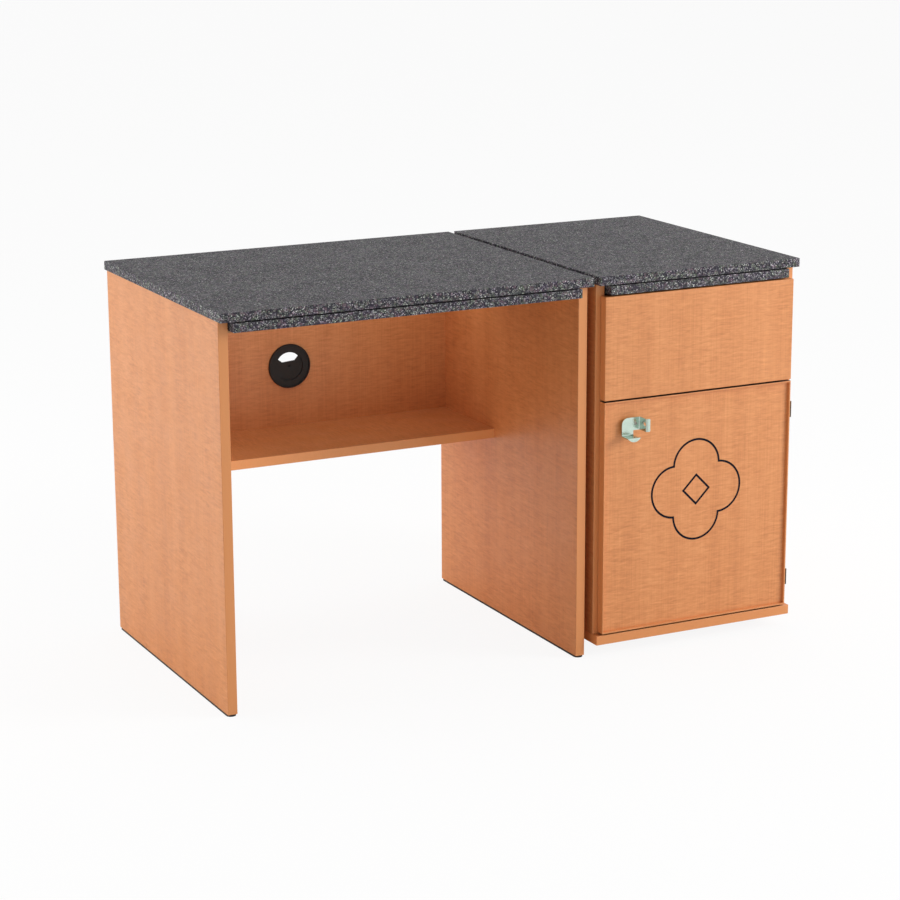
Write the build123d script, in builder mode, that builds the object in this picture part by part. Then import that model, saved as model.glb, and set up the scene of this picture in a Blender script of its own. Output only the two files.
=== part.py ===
from build123d import *
import os

# A kneehole desk and a cupboard pedestal, bolted side by side.
# Frame: millimetres, +X to the right, +Y to the back, +Z up. The origin is on the floor, at the
# middle of the overall footprint. "front" faces look along -Y.

# ------------------------------------------------------------------ driving dimensions
HEIGHT = 762.0
DESK_TOP_WIDTH = 762.0
PEDESTAL_TOP_WIDTH = 454.0
TOPS_GAP = 13.0
TOP_DEPTH = 618.0
TOP_THICK = 17.5
BOARD = 19.0
EDGE_ROUND = 1.0

FRONT_OVERHANG = 20.5
BACK_OVERHANG = 5.0
DESK_SIDE_OVERHANG = 3.5
PEDESTAL_SIDE_OVERHANG = 2.0
PULL_REACH = 27.5  # how far the lock pull stands ahead of the tops
BACK_INSET = 2.0

GLIDE_THICK = 4.0
SHELF_TOP_Z = 391.0
SHELF_SETBACK = 346.0

LEAF_SIDE_GAP = 3.0  # each side of a pull-out leaf
LEAF_TOP_GAP = 2.3
LEAF_THICK = 17.5
DESK_LEAF_DEPTH = 540.0
PEDESTAL_LEAF_DEPTH = 520.0
DESK_LEAF_TRAVEL = 350.0
PEDESTAL_LEAF_TRAVEL = 300.0

FOOT_HEIGHT = 25.0
FOOT_INSET = 95.0
BASE_FRONT_LIP = 18.0
BASE_SIDE_LIP = 1.0
FRONT_GAP = 3.2
FRONT_BUMP_GAP = 1.0
FRONT_REVEAL = 10.5
DOOR_TOP_Z = 515.0
DRAWER_FRONT_TOP_Z = 721.5
DOOR_RECESS = 6.0
LIPPING = 3.0
LIPPING_ROUND = 0.6
MITRE_GAP = 0.05

# ------------------------------------------------------------------ planes worked out from them
LEFT = -(DESK_TOP_WIDTH + TOPS_GAP + PEDESTAL_TOP_WIDTH) / 2
DESK_TOP_RIGHT = LEFT + DESK_TOP_WIDTH
DESK_LEFT = LEFT + DESK_SIDE_OVERHANG
DESK_RIGHT = DESK_TOP_RIGHT - DESK_SIDE_OVERHANG
DESK_IN_LEFT = DESK_LEFT + BOARD
DESK_IN_RIGHT = DESK_RIGHT - BOARD
DESK_MID = (DESK_LEFT + DESK_RIGHT) / 2

PEDESTAL_TOP_LEFT = DESK_TOP_RIGHT + TOPS_GAP
PEDESTAL_LEFT = PEDESTAL_TOP_LEFT + PEDESTAL_SIDE_OVERHANG
PEDESTAL_RIGHT = -LEFT - PEDESTAL_SIDE_OVERHANG
PEDESTAL_IN_LEFT = PEDESTAL_LEFT + BOARD
PEDESTAL_IN_RIGHT = PEDESTAL_RIGHT - BOARD
PEDESTAL_MID = (PEDESTAL_LEFT + PEDESTAL_RIGHT) / 2
FRONT_LEFT = PEDESTAL_LEFT + FRONT_REVEAL
FRONT_RIGHT = PEDESTAL_RIGHT - FRONT_REVEAL

BACK = (TOP_DEPTH + PULL_REACH) / 2
TOP_FRONT = BACK - TOP_DEPTH
PANEL_FRONT = TOP_FRONT + FRONT_OVERHANG
PANEL_BACK = BACK - BACK_OVERHANG
BACK_PANEL_BACK = PANEL_BACK - BACK_INSET
BACK_PANEL_FRONT = BACK_PANEL_BACK - BOARD
FACE_BACK = PANEL_FRONT - FRONT_BUMP_GAP
FACE_FRONT = FACE_BACK - BOARD

TOP_UNDER = HEIGHT - TOP_THICK
LEAF_TOP = TOP_UNDER - LEAF_TOP_GAP
LEAF_UNDER = LEAF_TOP - LEAF_THICK
BASE_TOP = FOOT_HEIGHT + BOARD
DOOR_BOTTOM = BASE_TOP + FRONT_GAP
DRAWER_FRONT_BOTTOM = DOOR_TOP_Z + FRONT_GAP
DIVIDER_MID = (DOOR_TOP_Z + DRAWER_FRONT_BOTTOM) / 2
DIVIDER_TOP = DIVIDER_MID + BOARD / 2
DIVIDER_UNDER = DIVIDER_MID - BOARD / 2
SHELF_UNDER = SHELF_TOP_Z - BOARD

CLEARANCE = 0.05  # radial, between a fastener or pin and its hole


# ------------------------------------------------------------------ shared shapes
def block(x, y, z, mode=Mode.ADD):
    """A straight block that fills three (low, high) ranges."""
    with Locations(((x[0] + x[1]) / 2, (y[0] + y[1]) / 2, (z[0] + z[1]) / 2)):
        Box(x[1] - x[0], y[1] - y[0], z[1] - z[0], mode=mode)


def facing(direction, points):
    """Planes at the given points, whose normals look along direction, out of the material."""
    across = (0, 1, 0) if abs(direction[0]) > 0 else (1, 0, 0)
    return [Plane(origin=point, x_dir=across, z_dir=direction) for point in points]


def screws(planes, length, shank, head):
    """Countersunk cross-head screws driven in from the planes, heads flush."""
    head_radius = head - 2 * CLEARANCE
    with Locations(*planes):
        Cylinder(shank, length, align=(Align.CENTER, Align.CENTER, Align.MAX))
        Cone(shank, head_radius, head_radius - shank, align=(Align.CENTER, Align.CENTER, Align.MAX))
        Box(head, head / 4, head / 2, mode=Mode.SUBTRACT)
        Box(head / 4, head, head / 2, mode=Mode.SUBTRACT)


def screw_holes(planes, length, shank, head):
    """The countersunk holes that those screws fill."""
    with Locations(*planes):
        CounterSinkHole(shank + CLEARANCE, head, depth=length + 1, counter_sink_angle=90)


def pegs(planes, inward, outward, radius, gap=0.0, mode=Mode.ADD):
    """Round pegs across the planes: inward behind each plane, outward ahead of it."""
    span = inward + outward + 2 * gap
    with Locations(*planes):
        with Locations((0, 0, (outward - inward) / 2)):
            Cylinder(radius + gap, span, mode=mode)


def save(builder, name):
    """Labels a finished sub-part and writes it as a STEP file."""
    builder.part.label = name
    export_step(builder.part, f"parts/{name}.step")


os.makedirs("parts", exist_ok=True)

RIGHTWARD = (1, 0, 0)
LEFTWARD = (-1, 0, 0)
FORWARD = (0, -1, 0)
BACKWARD = (0, 1, 0)
UPWARD = (0, 0, 1)
DOWNWARD = (0, 0, -1)

# ------------------------------------------------------------------ joinery positions
DOWEL_RADIUS = 4.0
DOWEL_IN_TOP = 11.0
DOWEL_IN_PANEL = 18.0
DOWEL_SETBACKS = (60.0, TOP_DEPTH / 2 - 20.0, 530.0)

CAM_RADIUS = 7.5
CAM_DEPTH = 12.5
CAM_REACH = 30.0  # from the joint to the middle of the cam
CAM_BOLT_RADIUS = 3.0
CAM_BOLT_IN_PANEL = 11.0
CAM_BOLT_IN_BOARD = CAM_REACH - CAM_RADIUS - 0.5
CAM_FROM_SHELF_EDGE = 45.0
CAM_FROM_BOARD_END = 60.0


def top_dowels(panel_mids):
    """Points of the dowels that join a top to the upright panels under it."""
    return [(x, PANEL_FRONT + setback, TOP_UNDER) for x in panel_mids for setback in DOWEL_SETBACKS]


DESK_TOP_DOWELS = top_dowels((DESK_LEFT + BOARD / 2, DESK_RIGHT - BOARD / 2))
PEDESTAL_TOP_DOWELS = top_dowels((PEDESTAL_LEFT + BOARD / 2, PEDESTAL_RIGHT - BOARD / 2))
PEDESTAL_BASE_DOWELS = [(x, y, BASE_TOP) for x, y, _ in PEDESTAL_TOP_DOWELS]

SHELF_FRONT = PANEL_FRONT + SHELF_SETBACK
SHELF_CAM_ROWS = [(y, SHELF_UNDER + BOARD / 2)
                  for y in (SHELF_FRONT + CAM_FROM_SHELF_EDGE, BACK_PANEL_FRONT - CAM_FROM_SHELF_EDGE)]
BACK_MID = (BACK_PANEL_FRONT + BACK_PANEL_BACK) / 2
DESK_BACK_CAM_ROWS = [(BACK_MID, z)
                      for z in (SHELF_TOP_Z + CAM_FROM_BOARD_END, TOP_UNDER - CAM_FROM_BOARD_END)]
PEDESTAL_BACK_CAM_ROWS = [(BACK_MID, z)
                          for z in (BASE_TOP + CAM_FROM_BOARD_END, DIVIDER_UNDER - CAM_FROM_BOARD_END,
                                    TOP_UNDER - CAM_FROM_BOARD_END)]
DIVIDER_CAM_ROWS = [(y, DIVIDER_MID)
                    for y in (PANEL_FRONT + CAM_FROM_BOARD_END, BACK_PANEL_FRONT - CAM_FROM_BOARD_END)]
DESK_CAM_ROWS = SHELF_CAM_ROWS + DESK_BACK_CAM_ROWS
PEDESTAL_CAM_ROWS = DIVIDER_CAM_ROWS + PEDESTAL_BACK_CAM_ROWS


def cam_bolts(rows, in_left, in_right, gap=0.0, mode=Mode.ADD):
    """Cam bolts out of the two panels' inner faces, or the holes that they fill."""
    for x, direction in ((in_left, RIGHTWARD), (in_right, LEFTWARD)):
        planes = facing(direction, [(x, y, z) for y, z in rows])
        pegs(planes, CAM_BOLT_IN_PANEL, CAM_BOLT_IN_BOARD, CAM_BOLT_RADIUS, gap, mode)


def cams_from_below(rows, in_left, in_right, underside, gap=0.0, mode=Mode.ADD):
    """Cam locks let into the underside of a level board, or their pockets."""
    points = [(x, y, underside) for x in (in_left + CAM_REACH, in_right - CAM_REACH) for y, _ in rows]
    with Locations(*facing(DOWNWARD, points)):
        Cylinder(CAM_RADIUS + gap, CAM_DEPTH, align=(Align.CENTER, Align.CENTER, Align.MAX), mode=mode)


def cams_from_behind(rows, in_left, in_right, gap=0.0, mode=Mode.ADD):
    """Cam locks let into the back of a back panel, or their pockets."""
    ends = (in_left + CAM_REACH, in_right - CAM_REACH)
    points = [(x, BACK_PANEL_BACK, z) for x in ends for _, z in rows]
    with Locations(*facing(BACKWARD, points)):
        Cylinder(CAM_RADIUS + gap, CAM_DEPTH, align=(Align.CENTER, Align.CENTER, Align.MAX), mode=mode)


# Four gang bolts pass from the cupboard through a spacer sleeve into inserts in the desk's panel.
GANG_RADIUS = 3.0
GANG_GAP = PEDESTAL_LEFT - DESK_RIGHT
GANG_POINTS = [(y, z) for y in (PANEL_FRONT + 120, BACK_PANEL_FRONT - 80) for z in (150.0, 440.0)]
GANG_HEAD_RADIUS = 6.0
GANG_HEAD_HEIGHT = 3.0
GANG_HEAD_TAPER = 18
GANG_SOCKET_RADIUS = 2.0
GANG_SOCKET_DEPTH = 2.0
GANG_SPACER_RADIUS = 9.0
GANG_BOLT_IN_DESK = 12.0
INSERT_RADIUS = 5.0
INSERT_DEPTH = 14.0


def gang_planes(x):
    """Planes of the gang bolts at x, looking along +X, the way the heads face."""
    return facing(RIGHTWARD, [(x, y, z) for y, z in GANG_POINTS])


# ------------------------------------------------------------------ pull-out leaves: runners
RUNNER_WIDTH = 30.0
RUNNER_HEIGHT = 12.0
RUNNER_GAP = 0.4
RUNNER_TOP = LEAF_UNDER - RUNNER_GAP
RUNNER_FRONT = PANEL_FRONT + 45.0
STOP_RADIUS = 4.0
STOP_DROP = 9.0
STOP_FROM_BACK = 20.0
STOP_REACH = 20.0  # from the panel's face to the middle of the stop peg and its slot
SLOT_WIDTH = 9.0
STOP_HOLE_DEPTH = 10.0
STOP_IN_LEAF = 9.0
RUNNER_BEHIND_LEAF = 12.0
RUNNER_SCREW_FROM_END = 20.0
RUNNER_SCREW_FROM_LEAF_END = 8.0
RUNNER_SCREW_SHANK = 1.6
RUNNER_SCREW_HEAD_RADIUS = 3.4
RUNNER_COUNTERBORE = 14.0
RUNNER_SCREW_IN_PANEL = 8.0
RUNNER_SCREW_HEAD = 2.4


def runner(wall, inward, leaf_depth, travel):
    """One wooden runner on a side panel; its slot catches the leaf's stop peg."""
    rear = TOP_FRONT + leaf_depth
    peg_y = rear - STOP_FROM_BACK
    slot_low = peg_y - travel - SLOT_WIDTH / 2
    slot_high = peg_y + SLOT_WIDTH / 2
    x = sorted((wall, wall + inward * RUNNER_WIDTH))
    block(x, (RUNNER_FRONT, rear + RUNNER_BEHIND_LEAF), (RUNNER_TOP - RUNNER_HEIGHT, RUNNER_TOP))
    with BuildSketch(Plane.XY.offset(RUNNER_TOP)) as slot:
        with Locations((wall + inward * STOP_REACH, (slot_low + slot_high) / 2)):
            SlotOverall(slot_high - slot_low, SLOT_WIDTH, rotation=90)
    extrude(slot.sketch, amount=-RUNNER_HEIGHT, mode=Mode.SUBTRACT)


def runner_screw_planes(wall, inward, leaf_depth):
    rear = TOP_FRONT + leaf_depth
    z = RUNNER_TOP - RUNNER_HEIGHT / 2
    places = [RUNNER_FRONT + RUNNER_SCREW_FROM_END, (RUNNER_FRONT + rear) / 2,
              rear - RUNNER_SCREW_FROM_LEAF_END]
    return facing((inward, 0, 0), [(wall + inward * RUNNER_WIDTH, y, z) for y in places])


def runner_set(in_left, in_right, leaf_depth, travel):
    """Both runners of one leaf, with their screw holes."""
    runner(in_left, 1, leaf_depth, travel)
    runner(in_right, -1, leaf_depth, travel)
    for wall, inward in ((in_left, 1), (in_right, -1)):
        planes = runner_screw_planes(wall, inward, leaf_depth)
        pegs(planes, RUNNER_WIDTH, 0, RUNNER_SCREW_SHANK, CLEARANCE, Mode.SUBTRACT)
        pegs(planes, RUNNER_COUNTERBORE, 0, RUNNER_SCREW_HEAD_RADIUS, CLEARANCE, Mode.SUBTRACT)


def runner_screw_set(in_left, in_right, leaf_depth, gap=0.0, mode=Mode.ADD):
    """The runners' screws, sunk in deep counterbores, or their holes in the panels."""
    for wall, inward in ((in_left, 1), (in_right, -1)):
        planes = runner_screw_planes(wall, inward, leaf_depth)
        pegs(planes, RUNNER_WIDTH + RUNNER_SCREW_IN_PANEL, -RUNNER_COUNTERBORE, RUNNER_SCREW_SHANK, gap, mode)
        if mode == Mode.ADD:
            pegs(planes, RUNNER_COUNTERBORE, RUNNER_SCREW_HEAD - RUNNER_COUNTERBORE, RUNNER_SCREW_HEAD_RADIUS)


def stop_points(in_left, in_right, leaf_depth):
    y = TOP_FRONT + leaf_depth - STOP_FROM_BACK
    return [(x, y, LEAF_UNDER) for x in (in_left + STOP_REACH, in_right - STOP_REACH)]


def leaf(in_left, in_right, depth):
    """A pull-out leaf under a top, drilled from below for its stop pegs."""
    block((in_left + LEAF_SIDE_GAP, in_right - LEAF_SIDE_GAP), (TOP_FRONT, TOP_FRONT + depth),
          (LEAF_UNDER, LEAF_TOP))


# ================================================================== desk
DESK_INNER = (DESK_IN_LEFT, DESK_IN_RIGHT)

with BuildPart() as desk_top:
    block((LEFT, DESK_TOP_RIGHT), (TOP_FRONT, BACK), (TOP_UNDER, HEIGHT))
    fillet(desk_top.edges(), radius=EDGE_ROUND)
    pegs(facing(UPWARD, DESK_TOP_DOWELS), 0, DOWEL_IN_TOP, DOWEL_RADIUS, CLEARANCE, Mode.SUBTRACT)
save(desk_top, "desk_top")

with BuildPart() as desk_left_panel:
    block((DESK_LEFT, DESK_IN_LEFT), (PANEL_FRONT, PANEL_BACK), (GLIDE_THICK, TOP_UNDER))
    fillet(desk_left_panel.edges().filter_by(Axis.Z), radius=EDGE_ROUND)
    pegs(facing(UPWARD, DESK_TOP_DOWELS), DOWEL_IN_PANEL, 0, DOWEL_RADIUS, CLEARANCE, Mode.SUBTRACT)
    cam_bolts(DESK_CAM_ROWS, *DESK_INNER, gap=CLEARANCE, mode=Mode.SUBTRACT)
    runner_screw_set(*DESK_INNER, DESK_LEAF_DEPTH, CLEARANCE, Mode.SUBTRACT)
save(desk_left_panel, "desk_left_panel")

with BuildPart() as desk_right_panel:
    block((DESK_IN_RIGHT, DESK_RIGHT), (PANEL_FRONT, PANEL_BACK), (GLIDE_THICK, TOP_UNDER))
    fillet(desk_right_panel.edges().filter_by(Axis.Z), radius=EDGE_ROUND)
    pegs(facing(UPWARD, DESK_TOP_DOWELS), DOWEL_IN_PANEL, 0, DOWEL_RADIUS, CLEARANCE, Mode.SUBTRACT)
    cam_bolts(DESK_CAM_ROWS, *DESK_INNER, gap=CLEARANCE, mode=Mode.SUBTRACT)
    runner_screw_set(*DESK_INNER, DESK_LEAF_DEPTH, CLEARANCE, Mode.SUBTRACT)
    pegs(gang_planes(DESK_RIGHT), INSERT_DEPTH, 0, INSERT_RADIUS, CLEARANCE, Mode.SUBTRACT)
save(desk_right_panel, "desk_right_panel")

# The plastic glides are strips along the whole foot of each desk panel, rounded at both ends.
with BuildPart() as desk_panel_glides:
    for x in (DESK_LEFT + BOARD / 2, DESK_RIGHT - BOARD / 2):
        with BuildSketch(Plane.XY):
            with Locations((x, (PANEL_FRONT + PANEL_BACK) / 2)):
                SlotOverall(PANEL_BACK - PANEL_FRONT, BOARD, rotation=90)
        extrude(amount=GLIDE_THICK)
save(desk_panel_glides, "desk_panel_glides")

# ---- back panel with its cable grommet
GROMMET_Z = 516.0
GROMMET_RIM_RADIUS = 46.0
GROMMET_RIM_WIDTH = 3.0
GROMMET_RIM_HEIGHT = 5.0
GROMMET_RIM_ROUND = 2.2
GROMMET_FACE_HEIGHT = 2.0
GROMMET_TUBE_RADIUS = 40.0
GROMMET_TUBE_WALL = 2.0
GROMMET_TUBE_LENGTH = BOARD + 3.0
GROMMET_CAP_RADIUS = 30.0
GROMMET_CAP_THICK = 3.0
GROMMET_CAP_SUNK = 2.0
GROMMET_SEAT_STEP = 1.4
GROMMET_SEAT_THICK = 2.0

with BuildPart() as desk_back_panel:
    block(DESK_INNER, (BACK_PANEL_FRONT, BACK_PANEL_BACK), (SHELF_UNDER, TOP_UNDER))
    with Locations(*facing(FORWARD, [(DESK_MID, BACK_PANEL_FRONT, GROMMET_Z)])):
        Hole(GROMMET_TUBE_RADIUS + 2 * CLEARANCE, depth=BOARD + 1)
    cam_bolts(DESK_BACK_CAM_ROWS, *DESK_INNER, gap=CLEARANCE, mode=Mode.SUBTRACT)
    cams_from_behind(DESK_BACK_CAM_ROWS, *DESK_INNER, gap=CLEARANCE, mode=Mode.SUBTRACT)
save(desk_back_panel, "desk_back_panel")

with BuildPart() as desk_shelf:
    block(DESK_INNER, (SHELF_FRONT, BACK_PANEL_FRONT), (SHELF_UNDER, SHELF_TOP_Z))
    front_edges = desk_shelf.edges().filter_by(Axis.X).group_by(Axis.Y)[0]
    fillet(front_edges, radius=EDGE_ROUND)
    cam_bolts(SHELF_CAM_ROWS, *DESK_INNER, gap=CLEARANCE, mode=Mode.SUBTRACT)
    cams_from_below(SHELF_CAM_ROWS, *DESK_INNER, SHELF_UNDER, CLEARANCE, Mode.SUBTRACT)
save(desk_shelf, "desk_shelf")

# The grommet ring is one moulding: a proud rounded rim, a flat face sunk inside it, a seat for the
# cap and a tube through the panel. Heights are taken along an axis that runs to the front, from the
# panel's face.
GROMMET_AXIS_PLANE = Plane(origin=(DESK_MID, BACK_PANEL_FRONT, GROMMET_Z), x_dir=(1, 0, 0), z_dir=FORWARD)
CAP_FACE = GROMMET_FACE_HEIGHT - GROMMET_CAP_SUNK
CAP_BACK = CAP_FACE - GROMMET_CAP_THICK
SEAT_FLOOR = CAP_BACK - CLEARANCE
SEAT_BACK = SEAT_FLOOR - GROMMET_SEAT_THICK


def grommet_bore(radius, low, high):
    """A round cut on the grommet's axis between two heights."""
    with BuildSketch(GROMMET_AXIS_PLANE.offset(low)) as bore:
        Circle(radius)
    extrude(bore.sketch, amount=high - low, mode=Mode.SUBTRACT)


with BuildPart(GROMMET_AXIS_PLANE) as grommet_ring:
    Cylinder(GROMMET_RIM_RADIUS, GROMMET_RIM_HEIGHT, align=(Align.CENTER, Align.CENTER, Align.MIN))
    outer_rim = grommet_ring.edges().sort_by(SortBy.LENGTH)[-2:].sort_by(Axis.Y)[0]
    fillet(outer_rim, radius=GROMMET_RIM_ROUND)
    with BuildSketch(GROMMET_AXIS_PLANE):
        Circle(GROMMET_TUBE_RADIUS)
    extrude(amount=-GROMMET_TUBE_LENGTH)
    grommet_bore(GROMMET_RIM_RADIUS - GROMMET_RIM_WIDTH, GROMMET_FACE_HEIGHT, GROMMET_RIM_HEIGHT)
    grommet_bore(GROMMET_CAP_RADIUS + CLEARANCE, SEAT_FLOOR, GROMMET_FACE_HEIGHT)
    grommet_bore(GROMMET_CAP_RADIUS - GROMMET_SEAT_STEP, SEAT_BACK, SEAT_FLOOR)
    grommet_bore(GROMMET_TUBE_RADIUS - GROMMET_TUBE_WALL, -GROMMET_TUBE_LENGTH, SEAT_BACK)
save(grommet_ring, "grommet_ring")

# The cap turns in the ring. Its cable slot is a segment with slanted ends at the rim. A small dimple
# marks the middle of its face.
SLOT_FLOOR = 9.5
SLOT_FLOOR_HALF = 14.0
SLOT_SHOULDER = (22.5, 17.2)
SLOT_OUTER_RADIUS = 28.32
SLOT_TILT = 5.0
CAP_EDGE = 0.5
DIMPLE_RADIUS = 3.0
DIMPLE_CENTRE = 1.2  # ahead of the cap's face

with BuildPart() as grommet_cap:
    with BuildSketch(GROMMET_AXIS_PLANE.offset(CAP_BACK).rotated((0, -SLOT_TILT, 0))):
        Circle(GROMMET_CAP_RADIUS)
        with BuildLine():
            shoulder_x, shoulder_y = SLOT_SHOULDER
            Polyline((-shoulder_x, shoulder_y), (-SLOT_FLOOR_HALF, SLOT_FLOOR), (SLOT_FLOOR_HALF, SLOT_FLOOR),
                     (shoulder_x, shoulder_y))
            ThreePointArc((shoulder_x, shoulder_y), (0, SLOT_OUTER_RADIUS), (-shoulder_x, shoulder_y))
        make_face(mode=Mode.SUBTRACT)
    extrude(amount=GROMMET_CAP_THICK)
    face_rim = grommet_cap.edges().group_by(Axis.Y)[0]
    chamfer(face_rim, length=CAP_EDGE)
    with Locations(GROMMET_AXIS_PLANE.offset(CAP_FACE + DIMPLE_CENTRE)):
        Sphere(DIMPLE_RADIUS, mode=Mode.SUBTRACT)
save(grommet_cap, "grommet_cap")

# ---- desk joinery
with BuildPart() as desk_dowels:
    pegs(facing(UPWARD, DESK_TOP_DOWELS), DOWEL_IN_PANEL - 1, DOWEL_IN_TOP - 1, DOWEL_RADIUS)
save(desk_dowels, "desk_dowels")

with BuildPart() as desk_cam_bolts:
    cam_bolts(DESK_CAM_ROWS, *DESK_INNER)
save(desk_cam_bolts, "desk_cam_bolts")

with BuildPart() as desk_cam_locks:
    cams_from_below(SHELF_CAM_ROWS, *DESK_INNER, SHELF_UNDER)
    cams_from_behind(DESK_BACK_CAM_ROWS, *DESK_INNER)
save(desk_cam_locks, "desk_cam_locks")

# ---- desk pull-out leaf
with BuildPart() as desk_leaf:
    leaf(*DESK_INNER, DESK_LEAF_DEPTH)
    fillet(desk_leaf.edges(), radius=EDGE_ROUND)
    desk_stops = facing(DOWNWARD, stop_points(*DESK_INNER, DESK_LEAF_DEPTH))
    pegs(desk_stops, STOP_HOLE_DEPTH, 0, STOP_RADIUS, CLEARANCE, Mode.SUBTRACT)
save(desk_leaf, "desk_leaf")

with BuildPart() as desk_leaf_stops:
    pegs(desk_stops, STOP_IN_LEAF, STOP_DROP, STOP_RADIUS)
save(desk_leaf_stops, "desk_leaf_stops")

with BuildPart() as desk_leaf_runners:
    runner_set(*DESK_INNER, DESK_LEAF_DEPTH, DESK_LEAF_TRAVEL)
save(desk_leaf_runners, "desk_leaf_runners")

with BuildPart() as desk_runner_screws:
    runner_screw_set(*DESK_INNER, DESK_LEAF_DEPTH)
save(desk_runner_screws, "desk_runner_screws")

# ================================================================== pedestal carcass
PEDESTAL_INNER = (PEDESTAL_IN_LEFT, PEDESTAL_IN_RIGHT)

with BuildPart() as pedestal_top:
    block((PEDESTAL_TOP_LEFT, -LEFT), (TOP_FRONT, BACK), (TOP_UNDER, HEIGHT))
    fillet(pedestal_top.edges(), radius=EDGE_ROUND)
    pegs(facing(UPWARD, PEDESTAL_TOP_DOWELS), 0, DOWEL_IN_TOP, DOWEL_RADIUS, CLEARANCE, Mode.SUBTRACT)
save(pedestal_top, "pedestal_top")

# ---- drawer slides: three nested channels a side, on the panels' inner faces
SLIDE_DEPTH = 12.7
SLIDE_LENGTH = 500.0
SLIDE_FRONT = PANEL_FRONT + 4.0
SLIDE_Z = 610.0
SLIDE_SHEET = 1.2
DRAWER_TRAVEL = 440.0
SLIDE_SCREW = (12.0, 1.7, 3.2)  # length, shank radius, head radius
DRAWER_SCREW_LENGTH = 9.0
SLIDE_SCREW_SETBACKS = (35.0, 250.0, 465.0)


def slide_screw_planes(wall, inward, sheet_face):
    """Screw planes on the slide's web, sheet_face away from the wall."""
    points = [(wall + inward * sheet_face, SLIDE_FRONT + s, SLIDE_Z) for s in SLIDE_SCREW_SETBACKS]
    return facing((inward, 0, 0), points)


def channel(web_face, towards, half_height, flange, sheet=SLIDE_SHEET):
    """A slide channel: a web on the plane x = web_face, flanges reaching towards +X or -X."""
    length = (SLIDE_FRONT, SLIDE_FRONT + SLIDE_LENGTH)
    block(sorted((web_face, web_face + towards * sheet)), length,
          (SLIDE_Z - half_height, SLIDE_Z + half_height))
    for z in (SLIDE_Z - half_height, SLIDE_Z + half_height - sheet):
        block(sorted((web_face, web_face + towards * flange)), length, (z, z + sheet))


# ---- butt hinges on the right edge of the door
HINGE_HEIGHT = 32.0
HINGE_RADIUS = 3.25
HINGE_PIN_RADIUS = 1.5
HINGE_LEAF = 1.5
HINGE_FROM_DOOR_EDGE = 3.6
HINGE_FROM_DOOR_FACE = 7.0
HINGE_X = FRONT_RIGHT + HINGE_FROM_DOOR_EDGE
HINGE_Y = FACE_FRONT + HINGE_FROM_DOOR_FACE
HINGE_MIDDLES = (104.5, 455.0)
HINGE_SCREW = (14.0, 1.2, 2.4)
FRAME_SCREW_SPREAD = 11.0
KNUCKLE = HINGE_HEIGHT / 3
KNUCKLE_GAP = 0.1
WING_GAP = 0.3
FOOT_GAP = 0.6
FOOT_LEFT = FRONT_RIGHT + FOOT_GAP
FOOT_RIGHT = PEDESTAL_RIGHT - EDGE_ROUND
FRAME_SCREW_SHIFT = 1.4  # to the left of the foot's middle, away from the panel's rounded edge
DOOR_SCREW_DEPTH = 6.0  # from the door's back to the hinge screws
FRAME_SCREWS = facing(FORWARD, [
    ((FOOT_LEFT + FOOT_RIGHT) / 2 - FRAME_SCREW_SHIFT, PANEL_FRONT - HINGE_LEAF,
     z + side * FRAME_SCREW_SPREAD)
    for z in HINGE_MIDDLES for side in (-1, 1)])
DOOR_HINGE_SCREWS = facing(RIGHTWARD, [
    (FRONT_RIGHT, FACE_BACK - DOOR_SCREW_DEPTH, z + side * FRAME_SCREW_SPREAD)
    for z in HINGE_MIDDLES for side in (-1, 1)])

# ---- magnetic catch under the divider, near the door's free edge
CATCH_FROM_DOOR_EDGE = 49.0
CATCH_WIDTH = 46.0
CATCH_X = (FRONT_LEFT + CATCH_FROM_DOOR_EDGE, FRONT_LEFT + CATCH_FROM_DOOR_EDGE + CATCH_WIDTH)
CATCH_HEIGHT = 14.0
CATCH_ROUND = 2.0
CATCH_DEPTH = 15.0
CATCH_FRONT = PANEL_FRONT + 1.0
CATCH_Y = (CATCH_FRONT, CATCH_FRONT + CATCH_DEPTH)
CATCH_Z = (DIVIDER_UNDER - CATCH_HEIGHT, DIVIDER_UNDER)
CATCH_LUG = 9.0
CATCH_LUG_THICK = 3.0
MAGNET_DEPTH = 10.0
MAGNET_FRONT = FACE_BACK + 0.2
MAGNET_SIDE = 6.0
MAGNET_BELOW = 3.0
MAGNET_ABOVE = 4.0
MAGNET_X = (CATCH_X[0] + MAGNET_SIDE, CATCH_X[1] - MAGNET_SIDE)
MAGNET_Z = (CATCH_Z[0] + MAGNET_BELOW, CATCH_Z[1] - MAGNET_ABOVE)
STRIKE_THICK = 0.8
STRIKE_MARGIN = 2.0
CATCH_SCREWS = facing(DOWNWARD, [(x, CATCH_FRONT + CATCH_DEPTH / 2, DIVIDER_UNDER - CATCH_LUG_THICK)
                                 for x in (CATCH_X[0] - CATCH_LUG / 2, CATCH_X[1] + CATCH_LUG / 2)])


def strike(gap=0.0, mode=Mode.ADD):
    """The strike plate in the door's back, or the recess that it fills."""
    block((MAGNET_X[0] - gap, MAGNET_X[1] + gap), (FACE_BACK - STRIKE_THICK, FACE_BACK),
          (MAGNET_Z[0] - STRIKE_MARGIN - gap, MAGNET_Z[1] + STRIKE_MARGIN + gap), mode)


# ---- adjustable shelf in the cupboard
CUPBOARD_SHELF_TOP = 290.0
CUPBOARD_SHELF_UNDER = CUPBOARD_SHELF_TOP - BOARD
CUPBOARD_SHELF_FRONT = PANEL_FRONT + 30.0
SHELF_SIDE_GAP = 1.0
SHELF_BACK_GAP = 2.0
SHELF_PIN_RADIUS = 2.5
SHELF_PIN_REACH = 9.0  # into the panel, and out of it
SHELF_PIN_FROM_END = 60.0
SHELF_PIN_POINTS = [
    (y, CUPBOARD_SHELF_UNDER - SHELF_PIN_RADIUS)
    for y in (CUPBOARD_SHELF_FRONT + SHELF_PIN_FROM_END, BACK_PANEL_FRONT - SHELF_PIN_FROM_END)]


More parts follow.
